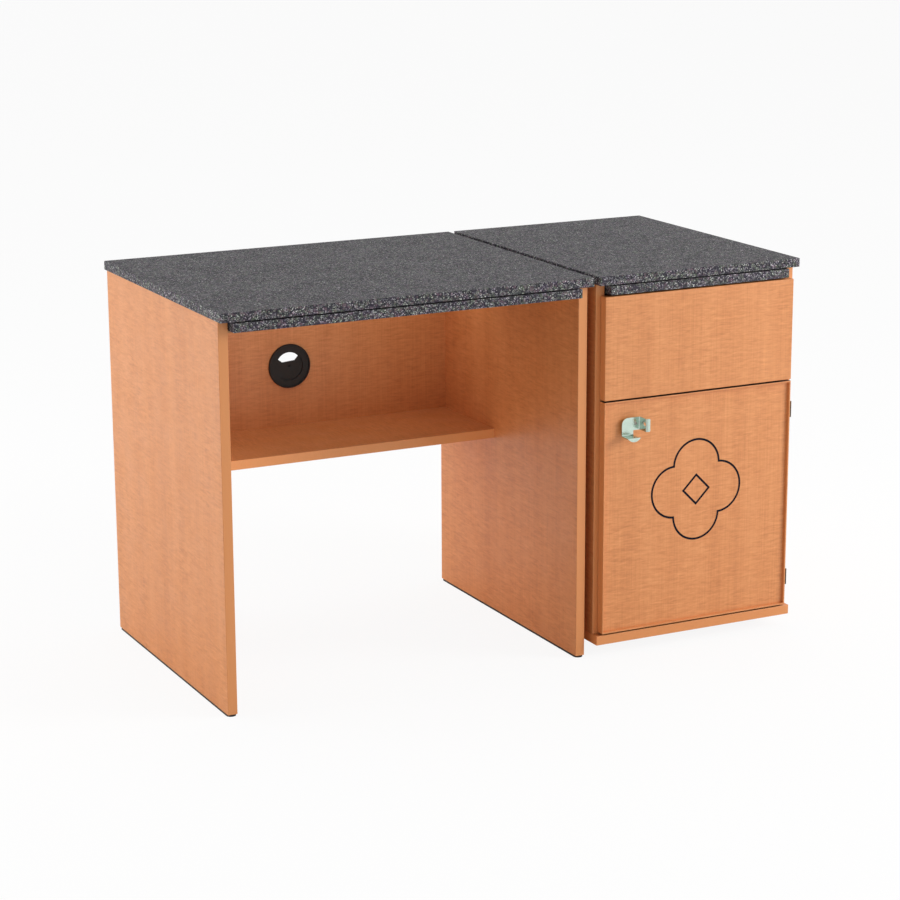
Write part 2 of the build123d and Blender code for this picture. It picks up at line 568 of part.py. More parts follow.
def shelf_pins(gap=0.0, mode=Mode.ADD):
    for x, direction in ((PEDESTAL_IN_LEFT, RIGHTWARD), (PEDESTAL_IN_RIGHT, LEFTWARD)):
        planes = facing(direction, [(x, y, z) for y, z in SHELF_PIN_POINTS])
        pegs(planes, SHELF_PIN_REACH, SHELF_PIN_REACH, SHELF_PIN_RADIUS, gap, mode)


def pedestal_panel_holes():
    """What both side panels of the pedestal are drilled for."""
    pegs(facing(UPWARD, PEDESTAL_TOP_DOWELS), DOWEL_IN_PANEL, 0, DOWEL_RADIUS, CLEARANCE, Mode.SUBTRACT)
    pegs(facing(UPWARD, PEDESTAL_BASE_DOWELS), 0, DOWEL_IN_PANEL, DOWEL_RADIUS, CLEARANCE, Mode.SUBTRACT)
    cam_bolts(PEDESTAL_CAM_ROWS, *PEDESTAL_INNER, gap=CLEARANCE, mode=Mode.SUBTRACT)
    runner_screw_set(*PEDESTAL_INNER, PEDESTAL_LEAF_DEPTH, CLEARANCE, Mode.SUBTRACT)
    shelf_pins(CLEARANCE, Mode.SUBTRACT)
    for wall, inward in ((PEDESTAL_IN_LEFT, 1), (PEDESTAL_IN_RIGHT, -1)):
        pegs(slide_screw_planes(wall, inward, 0), SLIDE_SCREW[0], 0, SLIDE_SCREW[1], CLEARANCE, Mode.SUBTRACT)


with BuildPart() as pedestal_left_panel:
    block((PEDESTAL_LEFT, PEDESTAL_IN_LEFT), (PANEL_FRONT, PANEL_BACK), (BASE_TOP, TOP_UNDER))
    fillet(pedestal_left_panel.edges().filter_by(Axis.Z), radius=EDGE_ROUND)
    pedestal_panel_holes()
    pegs(gang_planes(PEDESTAL_IN_LEFT), BOARD, 0, GANG_RADIUS, CLEARANCE, Mode.SUBTRACT)
save(pedestal_left_panel, "pedestal_left_panel")

with BuildPart() as pedestal_right_panel:
    block((PEDESTAL_IN_RIGHT, PEDESTAL_RIGHT), (PANEL_FRONT, PANEL_BACK), (BASE_TOP, TOP_UNDER))
    fillet(pedestal_right_panel.edges().filter_by(Axis.Z), radius=EDGE_ROUND)
    pedestal_panel_holes()
    pegs(FRAME_SCREWS, HINGE_SCREW[0], 0, HINGE_SCREW[1], CLEARANCE, Mode.SUBTRACT)
save(pedestal_right_panel, "pedestal_right_panel")

with BuildPart() as pedestal_back_panel:
    block(PEDESTAL_INNER, (BACK_PANEL_FRONT, BACK_PANEL_BACK), (BASE_TOP, TOP_UNDER))
    cam_bolts(PEDESTAL_BACK_CAM_ROWS, *PEDESTAL_INNER, gap=CLEARANCE, mode=Mode.SUBTRACT)
    cams_from_behind(PEDESTAL_BACK_CAM_ROWS, *PEDESTAL_INNER, gap=CLEARANCE, mode=Mode.SUBTRACT)
save(pedestal_back_panel, "pedestal_back_panel")

# ---- base board on four levelling feet
FOOT_POINTS = [(x, y, FOOT_HEIGHT) for x in (PEDESTAL_LEFT + FOOT_INSET, PEDESTAL_RIGHT - FOOT_INSET)
               for y in (PANEL_FRONT + FOOT_INSET, PANEL_BACK - FOOT_INSET)]
FOOT_STEM_RADIUS = 4.0
FOOT_STEM_IN_BOARD = 14.0

with BuildPart() as pedestal_base_board:
    block((PEDESTAL_LEFT - BASE_SIDE_LIP, PEDESTAL_RIGHT + BASE_SIDE_LIP),
          (PANEL_FRONT - BASE_FRONT_LIP, PANEL_BACK), (FOOT_HEIGHT, BASE_TOP))
    fillet(pedestal_base_board.edges(), radius=EDGE_ROUND)
    pegs(facing(UPWARD, PEDESTAL_BASE_DOWELS), DOWEL_IN_TOP, 0, DOWEL_RADIUS, CLEARANCE, Mode.SUBTRACT)
    pegs(facing(DOWNWARD, FOOT_POINTS), FOOT_STEM_IN_BOARD, 0, FOOT_STEM_RADIUS, CLEARANCE, Mode.SUBTRACT)
save(pedestal_base_board, "pedestal_base_board")

FOOT_PAD_HEIGHT = 9.0
FOOT_PAD_LOW_RADIUS = 19.0
FOOT_PAD_HIGH_RADIUS = 13.0
FOOT_STEM_IN_PAD = 5.0

with BuildPart() as pedestal_foot_pads:
    with Locations(*[(x, y, 0) for x, y, _ in FOOT_POINTS]):
        Cone(FOOT_PAD_LOW_RADIUS, FOOT_PAD_HIGH_RADIUS, FOOT_PAD_HEIGHT,
             align=(Align.CENTER, Align.CENTER, Align.MIN))
        with Locations((0, 0, FOOT_PAD_HEIGHT)):
            Cylinder(FOOT_STEM_RADIUS + CLEARANCE, 2 * FOOT_STEM_IN_PAD, mode=Mode.SUBTRACT)
save(pedestal_foot_pads, "pedestal_foot_pads")

with BuildPart() as pedestal_foot_stems:
    pegs(facing(DOWNWARD, FOOT_POINTS), FOOT_STEM_IN_BOARD - 1,
         FOOT_HEIGHT - FOOT_PAD_HEIGHT + FOOT_STEM_IN_PAD - 1, FOOT_STEM_RADIUS)
save(pedestal_foot_stems, "pedestal_foot_stems")

with BuildPart() as pedestal_divider:
    block(PEDESTAL_INNER, (PANEL_FRONT, BACK_PANEL_FRONT), (DIVIDER_UNDER, DIVIDER_TOP))
    cam_bolts(DIVIDER_CAM_ROWS, *PEDESTAL_INNER, gap=CLEARANCE, mode=Mode.SUBTRACT)
    cams_from_below(DIVIDER_CAM_ROWS, *PEDESTAL_INNER, DIVIDER_UNDER, CLEARANCE, Mode.SUBTRACT)
    pegs(CATCH_SCREWS, SLIDE_SCREW[0], 0, SLIDE_SCREW[1], CLEARANCE, Mode.SUBTRACT)
save(pedestal_divider, "pedestal_divider")

with BuildPart() as pedestal_shelf:
    block((PEDESTAL_IN_LEFT + SHELF_SIDE_GAP, PEDESTAL_IN_RIGHT - SHELF_SIDE_GAP),
          (CUPBOARD_SHELF_FRONT, BACK_PANEL_FRONT - SHELF_BACK_GAP),
          (CUPBOARD_SHELF_UNDER, CUPBOARD_SHELF_TOP))
    fillet(pedestal_shelf.edges().filter_by(Axis.X), radius=EDGE_ROUND)
save(pedestal_shelf, "pedestal_shelf")

with BuildPart() as pedestal_shelf_pins:
    shelf_pins()
save(pedestal_shelf_pins, "pedestal_shelf_pins")

with BuildPart() as pedestal_dowels:
    pegs(facing(UPWARD, PEDESTAL_TOP_DOWELS), DOWEL_IN_PANEL - 1, DOWEL_IN_TOP - 1, DOWEL_RADIUS)
    pegs(facing(UPWARD, PEDESTAL_BASE_DOWELS), DOWEL_IN_TOP - 1, DOWEL_IN_PANEL - 1, DOWEL_RADIUS)
save(pedestal_dowels, "pedestal_dowels")

with BuildPart() as pedestal_cam_bolts:
    cam_bolts(PEDESTAL_CAM_ROWS, *PEDESTAL_INNER)
save(pedestal_cam_bolts, "pedestal_cam_bolts")

with BuildPart() as pedestal_cam_locks:
    cams_from_below(DIVIDER_CAM_ROWS, *PEDESTAL_INNER, DIVIDER_UNDER)
    cams_from_behind(PEDESTAL_BACK_CAM_ROWS, *PEDESTAL_INNER)
save(pedestal_cam_locks, "pedestal_cam_locks")

# ---- gang bolts between the desk and the pedestal
with BuildPart() as gang_spacers:
    pegs(gang_planes(DESK_RIGHT), 0, GANG_GAP, GANG_SPACER_RADIUS)
    pegs(gang_planes(DESK_RIGHT), 0, GANG_GAP, GANG_RADIUS, CLEARANCE, Mode.SUBTRACT)
save(gang_spacers, "gang_spacers")

with BuildPart() as gang_bolts:
    pegs(gang_planes(PEDESTAL_IN_LEFT), BOARD + GANG_GAP + GANG_BOLT_IN_DESK, 0, GANG_RADIUS)
    for plane in gang_planes(PEDESTAL_IN_LEFT):
        with BuildSketch(plane):
            Circle(GANG_HEAD_RADIUS)
        extrude(amount=GANG_HEAD_HEIGHT, taper=GANG_HEAD_TAPER)
        with BuildSketch(plane.offset(GANG_HEAD_HEIGHT)):
            RegularPolygon(GANG_SOCKET_RADIUS, 6)
        extrude(amount=-GANG_SOCKET_DEPTH, mode=Mode.SUBTRACT)
save(gang_bolts, "gang_bolts")

with BuildPart() as gang_inserts:
    pegs(gang_planes(DESK_RIGHT), INSERT_DEPTH, 0, INSERT_RADIUS)
    pegs(gang_planes(DESK_RIGHT), GANG_BOLT_IN_DESK + 1, 0, GANG_RADIUS, CLEARANCE, Mode.SUBTRACT)
save(gang_inserts, "gang_inserts")

# ---- pedestal pull-out leaf
with BuildPart() as pedestal_leaf:
    leaf(*PEDESTAL_INNER, PEDESTAL_LEAF_DEPTH)
    fillet(pedestal_leaf.edges(), radius=EDGE_ROUND)
    pedestal_stops = facing(DOWNWARD, stop_points(*PEDESTAL_INNER, PEDESTAL_LEAF_DEPTH))
    pegs(pedestal_stops, STOP_HOLE_DEPTH, 0, STOP_RADIUS, CLEARANCE, Mode.SUBTRACT)
save(pedestal_leaf, "pedestal_leaf")

with BuildPart() as pedestal_leaf_stops:
    pegs(pedestal_stops, STOP_IN_LEAF, STOP_DROP, STOP_RADIUS)
save(pedestal_leaf_stops, "pedestal_leaf_stops")

with BuildPart() as pedestal_leaf_runners:
    runner_set(*PEDESTAL_INNER, PEDESTAL_LEAF_DEPTH, PEDESTAL_LEAF_TRAVEL)
save(pedestal_leaf_runners, "pedestal_leaf_runners")

with BuildPart() as pedestal_runner_screws:
    runner_screw_set(*PEDESTAL_INNER, PEDESTAL_LEAF_DEPTH)
save(pedestal_runner_screws, "pedestal_runner_screws")

# ================================================================== drawer
DRAWER_SIDE = 12.0
DRAWER_DEPTH = 520.0
DRAWER_LOW = 540.0
DRAWER_HIGH = 690.0
DRAWER_BOTTOM_THICK = 6.0
DRAWER_BOTTOM_GAP = 0.3
GROOVE_DEPTH = 6.0
GROOVE_HEIGHT = 8.0  # above the lower edge of the box
GROOVE_LOW = DRAWER_LOW + GROOVE_HEIGHT
DRAWER_OUT_LEFT = PEDESTAL_IN_LEFT + SLIDE_DEPTH
DRAWER_OUT_RIGHT = PEDESTAL_IN_RIGHT - SLIDE_DEPTH
DRAWER_IN_LEFT = DRAWER_OUT_LEFT + DRAWER_SIDE
DRAWER_IN_RIGHT = DRAWER_OUT_RIGHT - DRAWER_SIDE
DRAWER_BOX_FRONT = FACE_BACK
DRAWER_BOX_BACK = DRAWER_BOX_FRONT + DRAWER_DEPTH
DRAWER_Z = (DRAWER_LOW, DRAWER_HIGH)
DRAWER_IN_FRONT = DRAWER_BOX_FRONT + DRAWER_SIDE
DRAWER_IN_BACK = DRAWER_BOX_BACK - DRAWER_SIDE
FRONT_SCREW = (24.0, 2.0, 4.0)
FRONT_SCREW_FROM_MIDDLE = 120.0
FRONT_SCREW_FROM_EDGE = 40.0
FRONT_SCREWS = facing(BACKWARD, [
    (PEDESTAL_MID + side * FRONT_SCREW_FROM_MIDDLE, DRAWER_IN_FRONT, z)
    for side in (-1, 1) for z in (DRAWER_LOW + FRONT_SCREW_FROM_EDGE, DRAWER_HIGH - FRONT_SCREW_FROM_EDGE)])


def bottom_groove():
    """The groove that holds the drawer's bottom, cut round the inside of the box."""
    block((DRAWER_IN_LEFT - GROOVE_DEPTH, DRAWER_IN_RIGHT + GROOVE_DEPTH),
          (DRAWER_IN_FRONT - GROOVE_DEPTH, DRAWER_IN_BACK + GROOVE_DEPTH),
          (GROOVE_LOW, GROOVE_LOW + DRAWER_BOTTOM_THICK), Mode.SUBTRACT)


def drawer_slide_holes():
    for wall, inward in ((DRAWER_OUT_LEFT, -1), (DRAWER_OUT_RIGHT, 1)):
        pegs(slide_screw_planes(wall, inward, 0), DRAWER_SCREW_LENGTH, 0, SLIDE_SCREW[1], CLEARANCE,
             Mode.SUBTRACT)


with BuildPart() as drawer_front:
    block((FRONT_LEFT, FRONT_RIGHT), (FACE_FRONT, FACE_BACK), (DRAWER_FRONT_BOTTOM, DRAWER_FRONT_TOP_Z))
    fillet(drawer_front.edges(), radius=EDGE_ROUND)
    pegs(FRONT_SCREWS, FRONT_SCREW[0], 0, FRONT_SCREW[1], CLEARANCE, Mode.SUBTRACT)
save(drawer_front, "drawer_front")

with BuildPart() as drawer_left_side:
    block((DRAWER_OUT_LEFT, DRAWER_IN_LEFT), (DRAWER_BOX_FRONT, DRAWER_BOX_BACK), DRAWER_Z)
    bottom_groove()
    drawer_slide_holes()
save(drawer_left_side, "drawer_left_side")

with BuildPart() as drawer_right_side:
    block((DRAWER_IN_RIGHT, DRAWER_OUT_RIGHT), (DRAWER_BOX_FRONT, DRAWER_BOX_BACK), DRAWER_Z)
    bottom_groove()
    drawer_slide_holes()
save(drawer_right_side, "drawer_right_side")

with BuildPart() as drawer_inner_front:
    block((DRAWER_IN_LEFT, DRAWER_IN_RIGHT), (DRAWER_BOX_FRONT, DRAWER_IN_FRONT), DRAWER_Z)
    bottom_groove()
    screw_holes(FRONT_SCREWS, FRONT_SCREW[0], FRONT_SCREW[1], FRONT_SCREW[2])
save(drawer_inner_front, "drawer_inner_front")

with BuildPart() as drawer_back:
    block((DRAWER_IN_LEFT, DRAWER_IN_RIGHT), (DRAWER_IN_BACK, DRAWER_BOX_BACK), DRAWER_Z)
    bottom_groove()
save(drawer_back, "drawer_back")

with BuildPart() as drawer_bottom:
    tongue = GROOVE_DEPTH - DRAWER_BOTTOM_GAP
    block((DRAWER_IN_LEFT - tongue, DRAWER_IN_RIGHT + tongue),
          (DRAWER_IN_FRONT - tongue, DRAWER_IN_BACK + tongue),
          (GROOVE_LOW, GROOVE_LOW + DRAWER_BOTTOM_THICK))
save(drawer_bottom, "drawer_bottom")

with BuildPart() as drawer_front_screws:
    screws(FRONT_SCREWS, *FRONT_SCREW)
save(drawer_front_screws, "drawer_front_screws")

# The slides' channels nest: cabinet member outside, drawer member inside, one between.
SLIDE_SIDES = ((PEDESTAL_IN_LEFT, 1), (PEDESTAL_IN_RIGHT, -1))
CABINET_HALF = 19.0
MIDDLE_HALF = 16.5
DRAWER_HALF = 12.5
MIDDLE_STANDOFF = 3.6
CABINET_FLANGE = 9.0
MIDDLE_FLANGE = 7.4
DRAWER_FLANGE = 6.4

with BuildPart() as drawer_slide_cabinet_members:
    for wall, inward in SLIDE_SIDES:
        channel(wall, inward, CABINET_HALF, CABINET_FLANGE)
        pegs(slide_screw_planes(wall, inward, SLIDE_SHEET), SLIDE_SHEET, 0, SLIDE_SCREW[1], CLEARANCE,
             Mode.SUBTRACT)
save(drawer_slide_cabinet_members, "drawer_slide_cabinet_members")

with BuildPart() as drawer_slide_middle_members:
    for wall, inward in SLIDE_SIDES:
        channel(wall + inward * MIDDLE_STANDOFF, inward, MIDDLE_HALF, MIDDLE_FLANGE)
save(drawer_slide_middle_members, "drawer_slide_middle_members")

with BuildPart() as drawer_slide_drawer_members:
    for wall, inward in SLIDE_SIDES:
        channel(wall + inward * SLIDE_DEPTH, -inward, DRAWER_HALF, DRAWER_FLANGE)
        pegs(slide_screw_planes(wall + inward * SLIDE_DEPTH, -inward, SLIDE_SHEET), SLIDE_SHEET, 0,
             SLIDE_SCREW[1], CLEARANCE, Mode.SUBTRACT)
save(drawer_slide_drawer_members, "drawer_slide_drawer_members")

PAN_HEAD = 1.6


def pan_screws(planes, length):
    """Low pan-head screws whose heads sit on the planes."""
    pegs(planes, length, 0, SLIDE_SCREW[1])
    pegs(planes, 0, PAN_HEAD, SLIDE_SCREW[2])


# The same screws hold the slides' cabinet members and the magnetic catch.
with BuildPart() as carcass_pan_screws:
    for wall, inward in SLIDE_SIDES:
        pan_screws(slide_screw_planes(wall, inward, SLIDE_SHEET), SLIDE_SCREW[0])
    pan_screws(CATCH_SCREWS, SLIDE_SCREW[0])
save(carcass_pan_screws, "carcass_pan_screws")

with BuildPart() as drawer_pan_screws:
    for wall, inward in SLIDE_SIDES:
        pan_screws(slide_screw_planes(wall + inward * SLIDE_DEPTH, -inward, SLIDE_SHEET),
                   DRAWER_SCREW_LENGTH)
save(drawer_pan_screws, "drawer_pan_screws")

# ================================================================== door
DOOR_X = (FRONT_LEFT, FRONT_RIGHT)
DOOR_Z = (DOOR_BOTTOM, DOOR_TOP_Z)
PANEL_X = (FRONT_LEFT + LIPPING, FRONT_RIGHT - LIPPING)
PANEL_Z = (DOOR_BOTTOM + LIPPING, DOOR_TOP_Z - LIPPING)
PANEL_FACE = FACE_FRONT + DOOR_RECESS

# ---- the door's emblem: a quatrefoil and a lozenge in line inlay
EMBLEM_Z = 316.0
EMBLEM_LOBE_RADIUS = 54.0
EMBLEM_LOBE_REACH = 50.0
EMBLEM_LOZENGE = 46.0
EMBLEM_LINE = 4.2
EMBLEM_DEPTH = 1.0
EMBLEM_PROUD = 0.2


def emblem_sketch():
    """The emblem's lines, drawn about the origin of the open sketch."""
    for shrink, mode in ((0.0, Mode.ADD), (EMBLEM_LINE, Mode.SUBTRACT)):
        with PolarLocations(EMBLEM_LOBE_REACH, 4):
            Circle(EMBLEM_LOBE_RADIUS - shrink, mode=mode)
        if mode == Mode.SUBTRACT:
            Rectangle(EMBLEM_LOBE_REACH, EMBLEM_LOBE_REACH, mode=mode)
    Rectangle(EMBLEM_LOZENGE, EMBLEM_LOZENGE, rotation=45)
    Rectangle(EMBLEM_LOZENGE - 2 * EMBLEM_LINE, EMBLEM_LOZENGE - 2 * EMBLEM_LINE, rotation=45,
              mode=Mode.SUBTRACT)


EMBLEM_PLANE = Plane(origin=(PEDESTAL_MID, PANEL_FACE, EMBLEM_Z), x_dir=(1, 0, 0), z_dir=FORWARD)

# ---- lock pull: a bent sheet bracket with two drilled ears, held off the panel by a boss
PULL_SHEET = 2.0
PULL_LEFT = FRONT_LEFT + 38.0
PULL_RIGHT = PULL_LEFT + 41.5
PULL_LOW = 443.2
PULL_HIGH = 480.4
PULL_EAR = 25.5
PULL_CORNER = 13.0
PULL_BEND = 4.5
PULL_FRONT = TOP_FRONT - PULL_REACH
LOWER_EAR_FRONT = PULL_FRONT + 2.0
RIGHT_LIP = 6.5
RIGHT_LIP_ROUND = 2.0
LOWER_LIP_WIDTH = PULL_EAR + 3.0
LOWER_LIP_LOW = (11.0, -5.5)  # its lowest point, from the left end and from PULL_LOW
PADLOCK_RADIUS = 4.25
PADLOCK_Z = PULL_HIGH - 11.5
PADLOCK_Y = PULL_FRONT + 8.0
LOWER_HOLE_X = PULL_LEFT + 18.5
LOWER_HOLE_Y = PULL_FRONT + 8.0
PULL_SCREW_POINT = (PULL_LEFT + 30.6, PULL_HIGH - 12.5)
PULL_BOSS_RADIUS = 6.0
PULL_BOLT_RADIUS = 2.0
PULL_BOLT_HEAD = 3.6
PULL_BOLT_HEAD_HEIGHT = 1.4
PULL_BOLT_HEAD_TAPER = 30
PULL_BOLT_CROSS = (4.2, 0.9)  # length and width of its arms, as deep as they are wide

with BuildPart() as door_panel:
    block(PANEL_X, (PANEL_FACE, FACE_BACK), PANEL_Z)
    with BuildSketch(EMBLEM_PLANE):
        emblem_sketch()
    extrude(amount=-EMBLEM_DEPTH, mode=Mode.SUBTRACT)
    pegs(facing(FORWARD, [(PULL_SCREW_POINT[0], PANEL_FACE, PULL_SCREW_POINT[1])]), BOARD, 1,
         PULL_BOLT_RADIUS, CLEARANCE, Mode.SUBTRACT)
    pegs(DOOR_HINGE_SCREWS, HINGE_SCREW[0], 0, HINGE_SCREW[1], CLEARANCE, Mode.SUBTRACT)
    strike(CLEARANCE, Mode.SUBTRACT)
save(door_panel, "door_panel")

# Four lipping strips frame the panel and stand proud of it; they meet in hairline mitres.
with BuildPart() as door_lipping:
    with BuildSketch(Plane.XZ.offset(-FACE_BACK)):
        with Locations(((DOOR_X[0] + DOOR_X[1]) / 2, (DOOR_Z[0] + DOOR_Z[1]) / 2)):
            Rectangle(DOOR_X[1] - DOOR_X[0], DOOR_Z[1] - DOOR_Z[0])
            Rectangle(PANEL_X[1] - PANEL_X[0], PANEL_Z[1] - PANEL_Z[0], mode=Mode.SUBTRACT)
    extrude(amount=BOARD)
    outer_front = door_lipping.edges().group_by(Axis.Y)[0]
    fillet(outer_front, radius=LIPPING_ROUND)
    for z in HINGE_MIDDLES:
        block((FRONT_RIGHT - HINGE_LEAF, FRONT_RIGHT), (HINGE_Y - HINGE_RADIUS, FACE_BACK),
              (z - HINGE_HEIGHT / 2, z + HINGE_HEIGHT / 2), Mode.SUBTRACT)
    pegs(DOOR_HINGE_SCREWS, HINGE_SCREW[0], 0, HINGE_SCREW[1], CLEARANCE, Mode.SUBTRACT)
    for x, slope in ((DOOR_X[0] + LIPPING / 2, 1), (DOOR_X[1] - LIPPING / 2, -1)):
        for z, rise in ((DOOR_Z[0] + LIPPING / 2, 1), (DOOR_Z[1] - LIPPING / 2, -1)):
            with Locations(Location((x, (FACE_FRONT + FACE_BACK) / 2, z), (0, -45 * slope * rise, 0))):
                Box(3 * LIPPING, BOARD + 1, MITRE_GAP, mode=Mode.SUBTRACT)
save(door_lipping, "door_lipping")

with BuildPart() as door_emblem:
    with BuildSketch(EMBLEM_PLANE.offset(EMBLEM_PROUD)):
        emblem_sketch()
    extrude(amount=-(EMBLEM_DEPTH + EMBLEM_PROUD))
save(door_emblem, "door_emblem")

PLATE_BACK = FACE_FRONT
PLATE_FRONT = PLATE_BACK - PULL_SHEET
PULL_STANDOFF = PANEL_FACE - PLATE_BACK
HALF_SHEET = PULL_SHEET / 2
EAR_STUB = 2.0  # how far the ears' sheet laps back into the plate

with BuildPart() as lock_pull:
    # back plate: one round corner, and a notch between the two ears
    with BuildSketch(Plane.XZ.offset(-PLATE_BACK)):
        with BuildLine():
            Polyline((PULL_LEFT, PULL_HIGH - PULL_CORNER), (PULL_LEFT, PULL_LOW + PULL_BEND),
                     (PULL_LEFT + PULL_EAR, PULL_LOW + PULL_BEND),
                     (PULL_LEFT + PULL_EAR, PULL_HIGH - PULL_EAR),
                     (PULL_RIGHT - PULL_BEND, PULL_HIGH - PULL_EAR), (PULL_RIGHT - PULL_BEND, PULL_HIGH),
                     (PULL_LEFT + PULL_CORNER, PULL_HIGH))
            RadiusArc((PULL_LEFT + PULL_CORNER, PULL_HIGH), (PULL_LEFT, PULL_HIGH - PULL_CORNER),
                      -PULL_CORNER)
        make_face()
    extrude(amount=PULL_SHEET)
    # lower ear, seen from the side: bent forward off the plate
    with BuildSketch(Plane.YZ.offset(PULL_LEFT)):
        with BuildLine():
            FilletPolyline((PLATE_BACK - HALF_SHEET, PULL_LOW + PULL_BEND + EAR_STUB),
                           (PLATE_BACK - HALF_SHEET, PULL_LOW + HALF_SHEET),
                           (LOWER_EAR_FRONT + HALF_SHEET, PULL_LOW + HALF_SHEET),
                           radius=PULL_BEND - HALF_SHEET)
        trace(line_width=PULL_SHEET)
    extrude(amount=PULL_EAR)
    # the lower ear's lip hangs in a crescent that runs a little past the ear on the right
    with BuildSketch(Plane.XZ.offset(-(LOWER_EAR_FRONT + PULL_SHEET))):
        with BuildLine():
            lip_left = (PULL_LEFT, PULL_LOW + PULL_SHEET)
            lip_right = (PULL_LEFT + LOWER_LIP_WIDTH, PULL_LOW + PULL_SHEET)
            Line(lip_right, lip_left)
            ThreePointArc(lip_left, (PULL_LEFT + LOWER_LIP_LOW[0], PULL_LOW + LOWER_LIP_LOW[1]), lip_right)
        make_face()
    extrude(amount=PULL_SHEET)
    # right ear, seen in plan: bent forward off the plate, its end turned outward
    with BuildSketch(Plane.XY.offset(PULL_HIGH - PULL_EAR)):
        with BuildLine():
            FilletPolyline((PULL_RIGHT - PULL_BEND - EAR_STUB, PLATE_BACK - HALF_SHEET),
                           (PULL_RIGHT - HALF_SHEET, PLATE_BACK - HALF_SHEET),
                           (PULL_RIGHT - HALF_SHEET, PULL_FRONT + HALF_SHEET),
                           (PULL_RIGHT + RIGHT_LIP, PULL_FRONT + HALF_SHEET), radius=PULL_BEND - HALF_SHEET)
        trace(line_width=PULL_SHEET)
    extrude(amount=PULL_EAR)
    lip_corners = lock_pull.edges().filter_by(Axis.Y).group_by(Axis.X)[-1]
    fillet(lip_corners, radius=RIGHT_LIP_ROUND)
    # boss behind the plate, and the three holes
    pegs(facing(FORWARD, [(PULL_SCREW_POINT[0], PLATE_BACK, PULL_SCREW_POINT[1])]), PULL_STANDOFF, 0,
         PULL_BOSS_RADIUS)
    with Locations(*facing(FORWARD, [(PULL_SCREW_POINT[0], PLATE_FRONT, PULL_SCREW_POINT[1])])):
        Hole(PULL_BOLT_RADIUS + CLEARANCE, depth=PULL_SHEET + PULL_STANDOFF + 1)
    with Locations(*facing(RIGHTWARD, [(PULL_RIGHT, PADLOCK_Y, PADLOCK_Z)])):
        Hole(PADLOCK_RADIUS, depth=PULL_SHEET + 1)
    with Locations(*facing(UPWARD, [(LOWER_HOLE_X, LOWER_HOLE_Y, PULL_LOW + PULL_SHEET)])):
        Hole(PADLOCK_RADIUS, depth=PULL_SHEET + 1)
save(lock_pull, "lock_pull")

with BuildPart() as lock_pull_bolt:
    pull_bolt_plane = facing(FORWARD, [(PULL_SCREW_POINT[0], PLATE_FRONT, PULL_SCREW_POINT[1])])[0]
    pegs([pull_bolt_plane], FACE_BACK - PLATE_FRONT - 0.5, 0, PULL_BOLT_RADIUS)
    with BuildSketch(pull_bolt_plane):
        Circle(PULL_BOLT_HEAD)
    extrude(amount=PULL_BOLT_HEAD_HEIGHT, taper=PULL_BOLT_HEAD_TAPER)
    with BuildSketch(pull_bolt_plane.offset(PULL_BOLT_HEAD_HEIGHT)):
        Rectangle(*PULL_BOLT_CROSS)
        Rectangle(*reversed(PULL_BOLT_CROSS))
    extrude(amount=-PULL_BOLT_CROSS[1], mode=Mode.SUBTRACT)
save(lock_pull_bolt, "lock_pull_bolt")

# ---- magnetic catch, and the strike plate let into the door's back
with BuildPart() as catch_body:
    block(CATCH_X, CATCH_Y, CATCH_Z)
    fillet(catch_body.edges().filter_by(Axis.Z), radius=CATCH_ROUND)
    block((CATCH_X[0] - CATCH_LUG, CATCH_X[1] + CATCH_LUG), CATCH_Y,
          (DIVIDER_UNDER - CATCH_LUG_THICK, DIVIDER_UNDER))
    block(MAGNET_X, (CATCH_FRONT, CATCH_FRONT + MAGNET_DEPTH), MAGNET_Z, Mode.SUBTRACT)
    pegs(CATCH_SCREWS, CATCH_LUG_THICK, 0, SLIDE_SCREW[1], CLEARANCE, Mode.SUBTRACT)
save(catch_body, "catch_body")

with BuildPart() as catch_magnet:
    block(MAGNET_X, (MAGNET_FRONT, CATCH_FRONT + MAGNET_DEPTH), MAGNET_Z)
save(catch_magnet, "catch_magnet")

with BuildPart() as catch_strike_plate:
    strike()
save(catch_strike_plate, "catch_strike_plate")

# ---- hinges
with BuildPart() as hinge_frame_leaves:
    for middle in HINGE_MIDDLES:
        low = middle - HINGE_HEIGHT / 2
        for start in (low, low + 2 * KNUCKLE + KNUCKLE_GAP):
            with BuildSketch(Plane.XY.offset(start)):
                with Locations((HINGE_X, HINGE_Y)):
                    Circle(HINGE_RADIUS)
                with Locations((HINGE_X + HINGE_RADIUS - HINGE_LEAF / 2, (HINGE_Y + PANEL_FRONT) / 2)):
                    Rectangle(HINGE_LEAF, PANEL_FRONT - HINGE_Y)
                with Locations((HINGE_X, HINGE_Y)):
                    Circle(HINGE_PIN_RADIUS + CLEARANCE, mode=Mode.SUBTRACT)
            extrude(amount=KNUCKLE - KNUCKLE_GAP)
        wing_x = (HINGE_X + HINGE_RADIUS - HINGE_LEAF, HINGE_X + HINGE_RADIUS)
        block(wing_x, (HINGE_Y + HINGE_RADIUS + WING_GAP, PANEL_FRONT), (low, low + HINGE_HEIGHT))
        block((FOOT_LEFT, FOOT_RIGHT), (PANEL_FRONT - HINGE_LEAF, PANEL_FRONT), (low, low + HINGE_HEIGHT))
    screw_holes(FRAME_SCREWS, HINGE_LEAF, HINGE_SCREW[1], HINGE_SCREW[2])
save(hinge_frame_leaves, "hinge_frame_leaves")

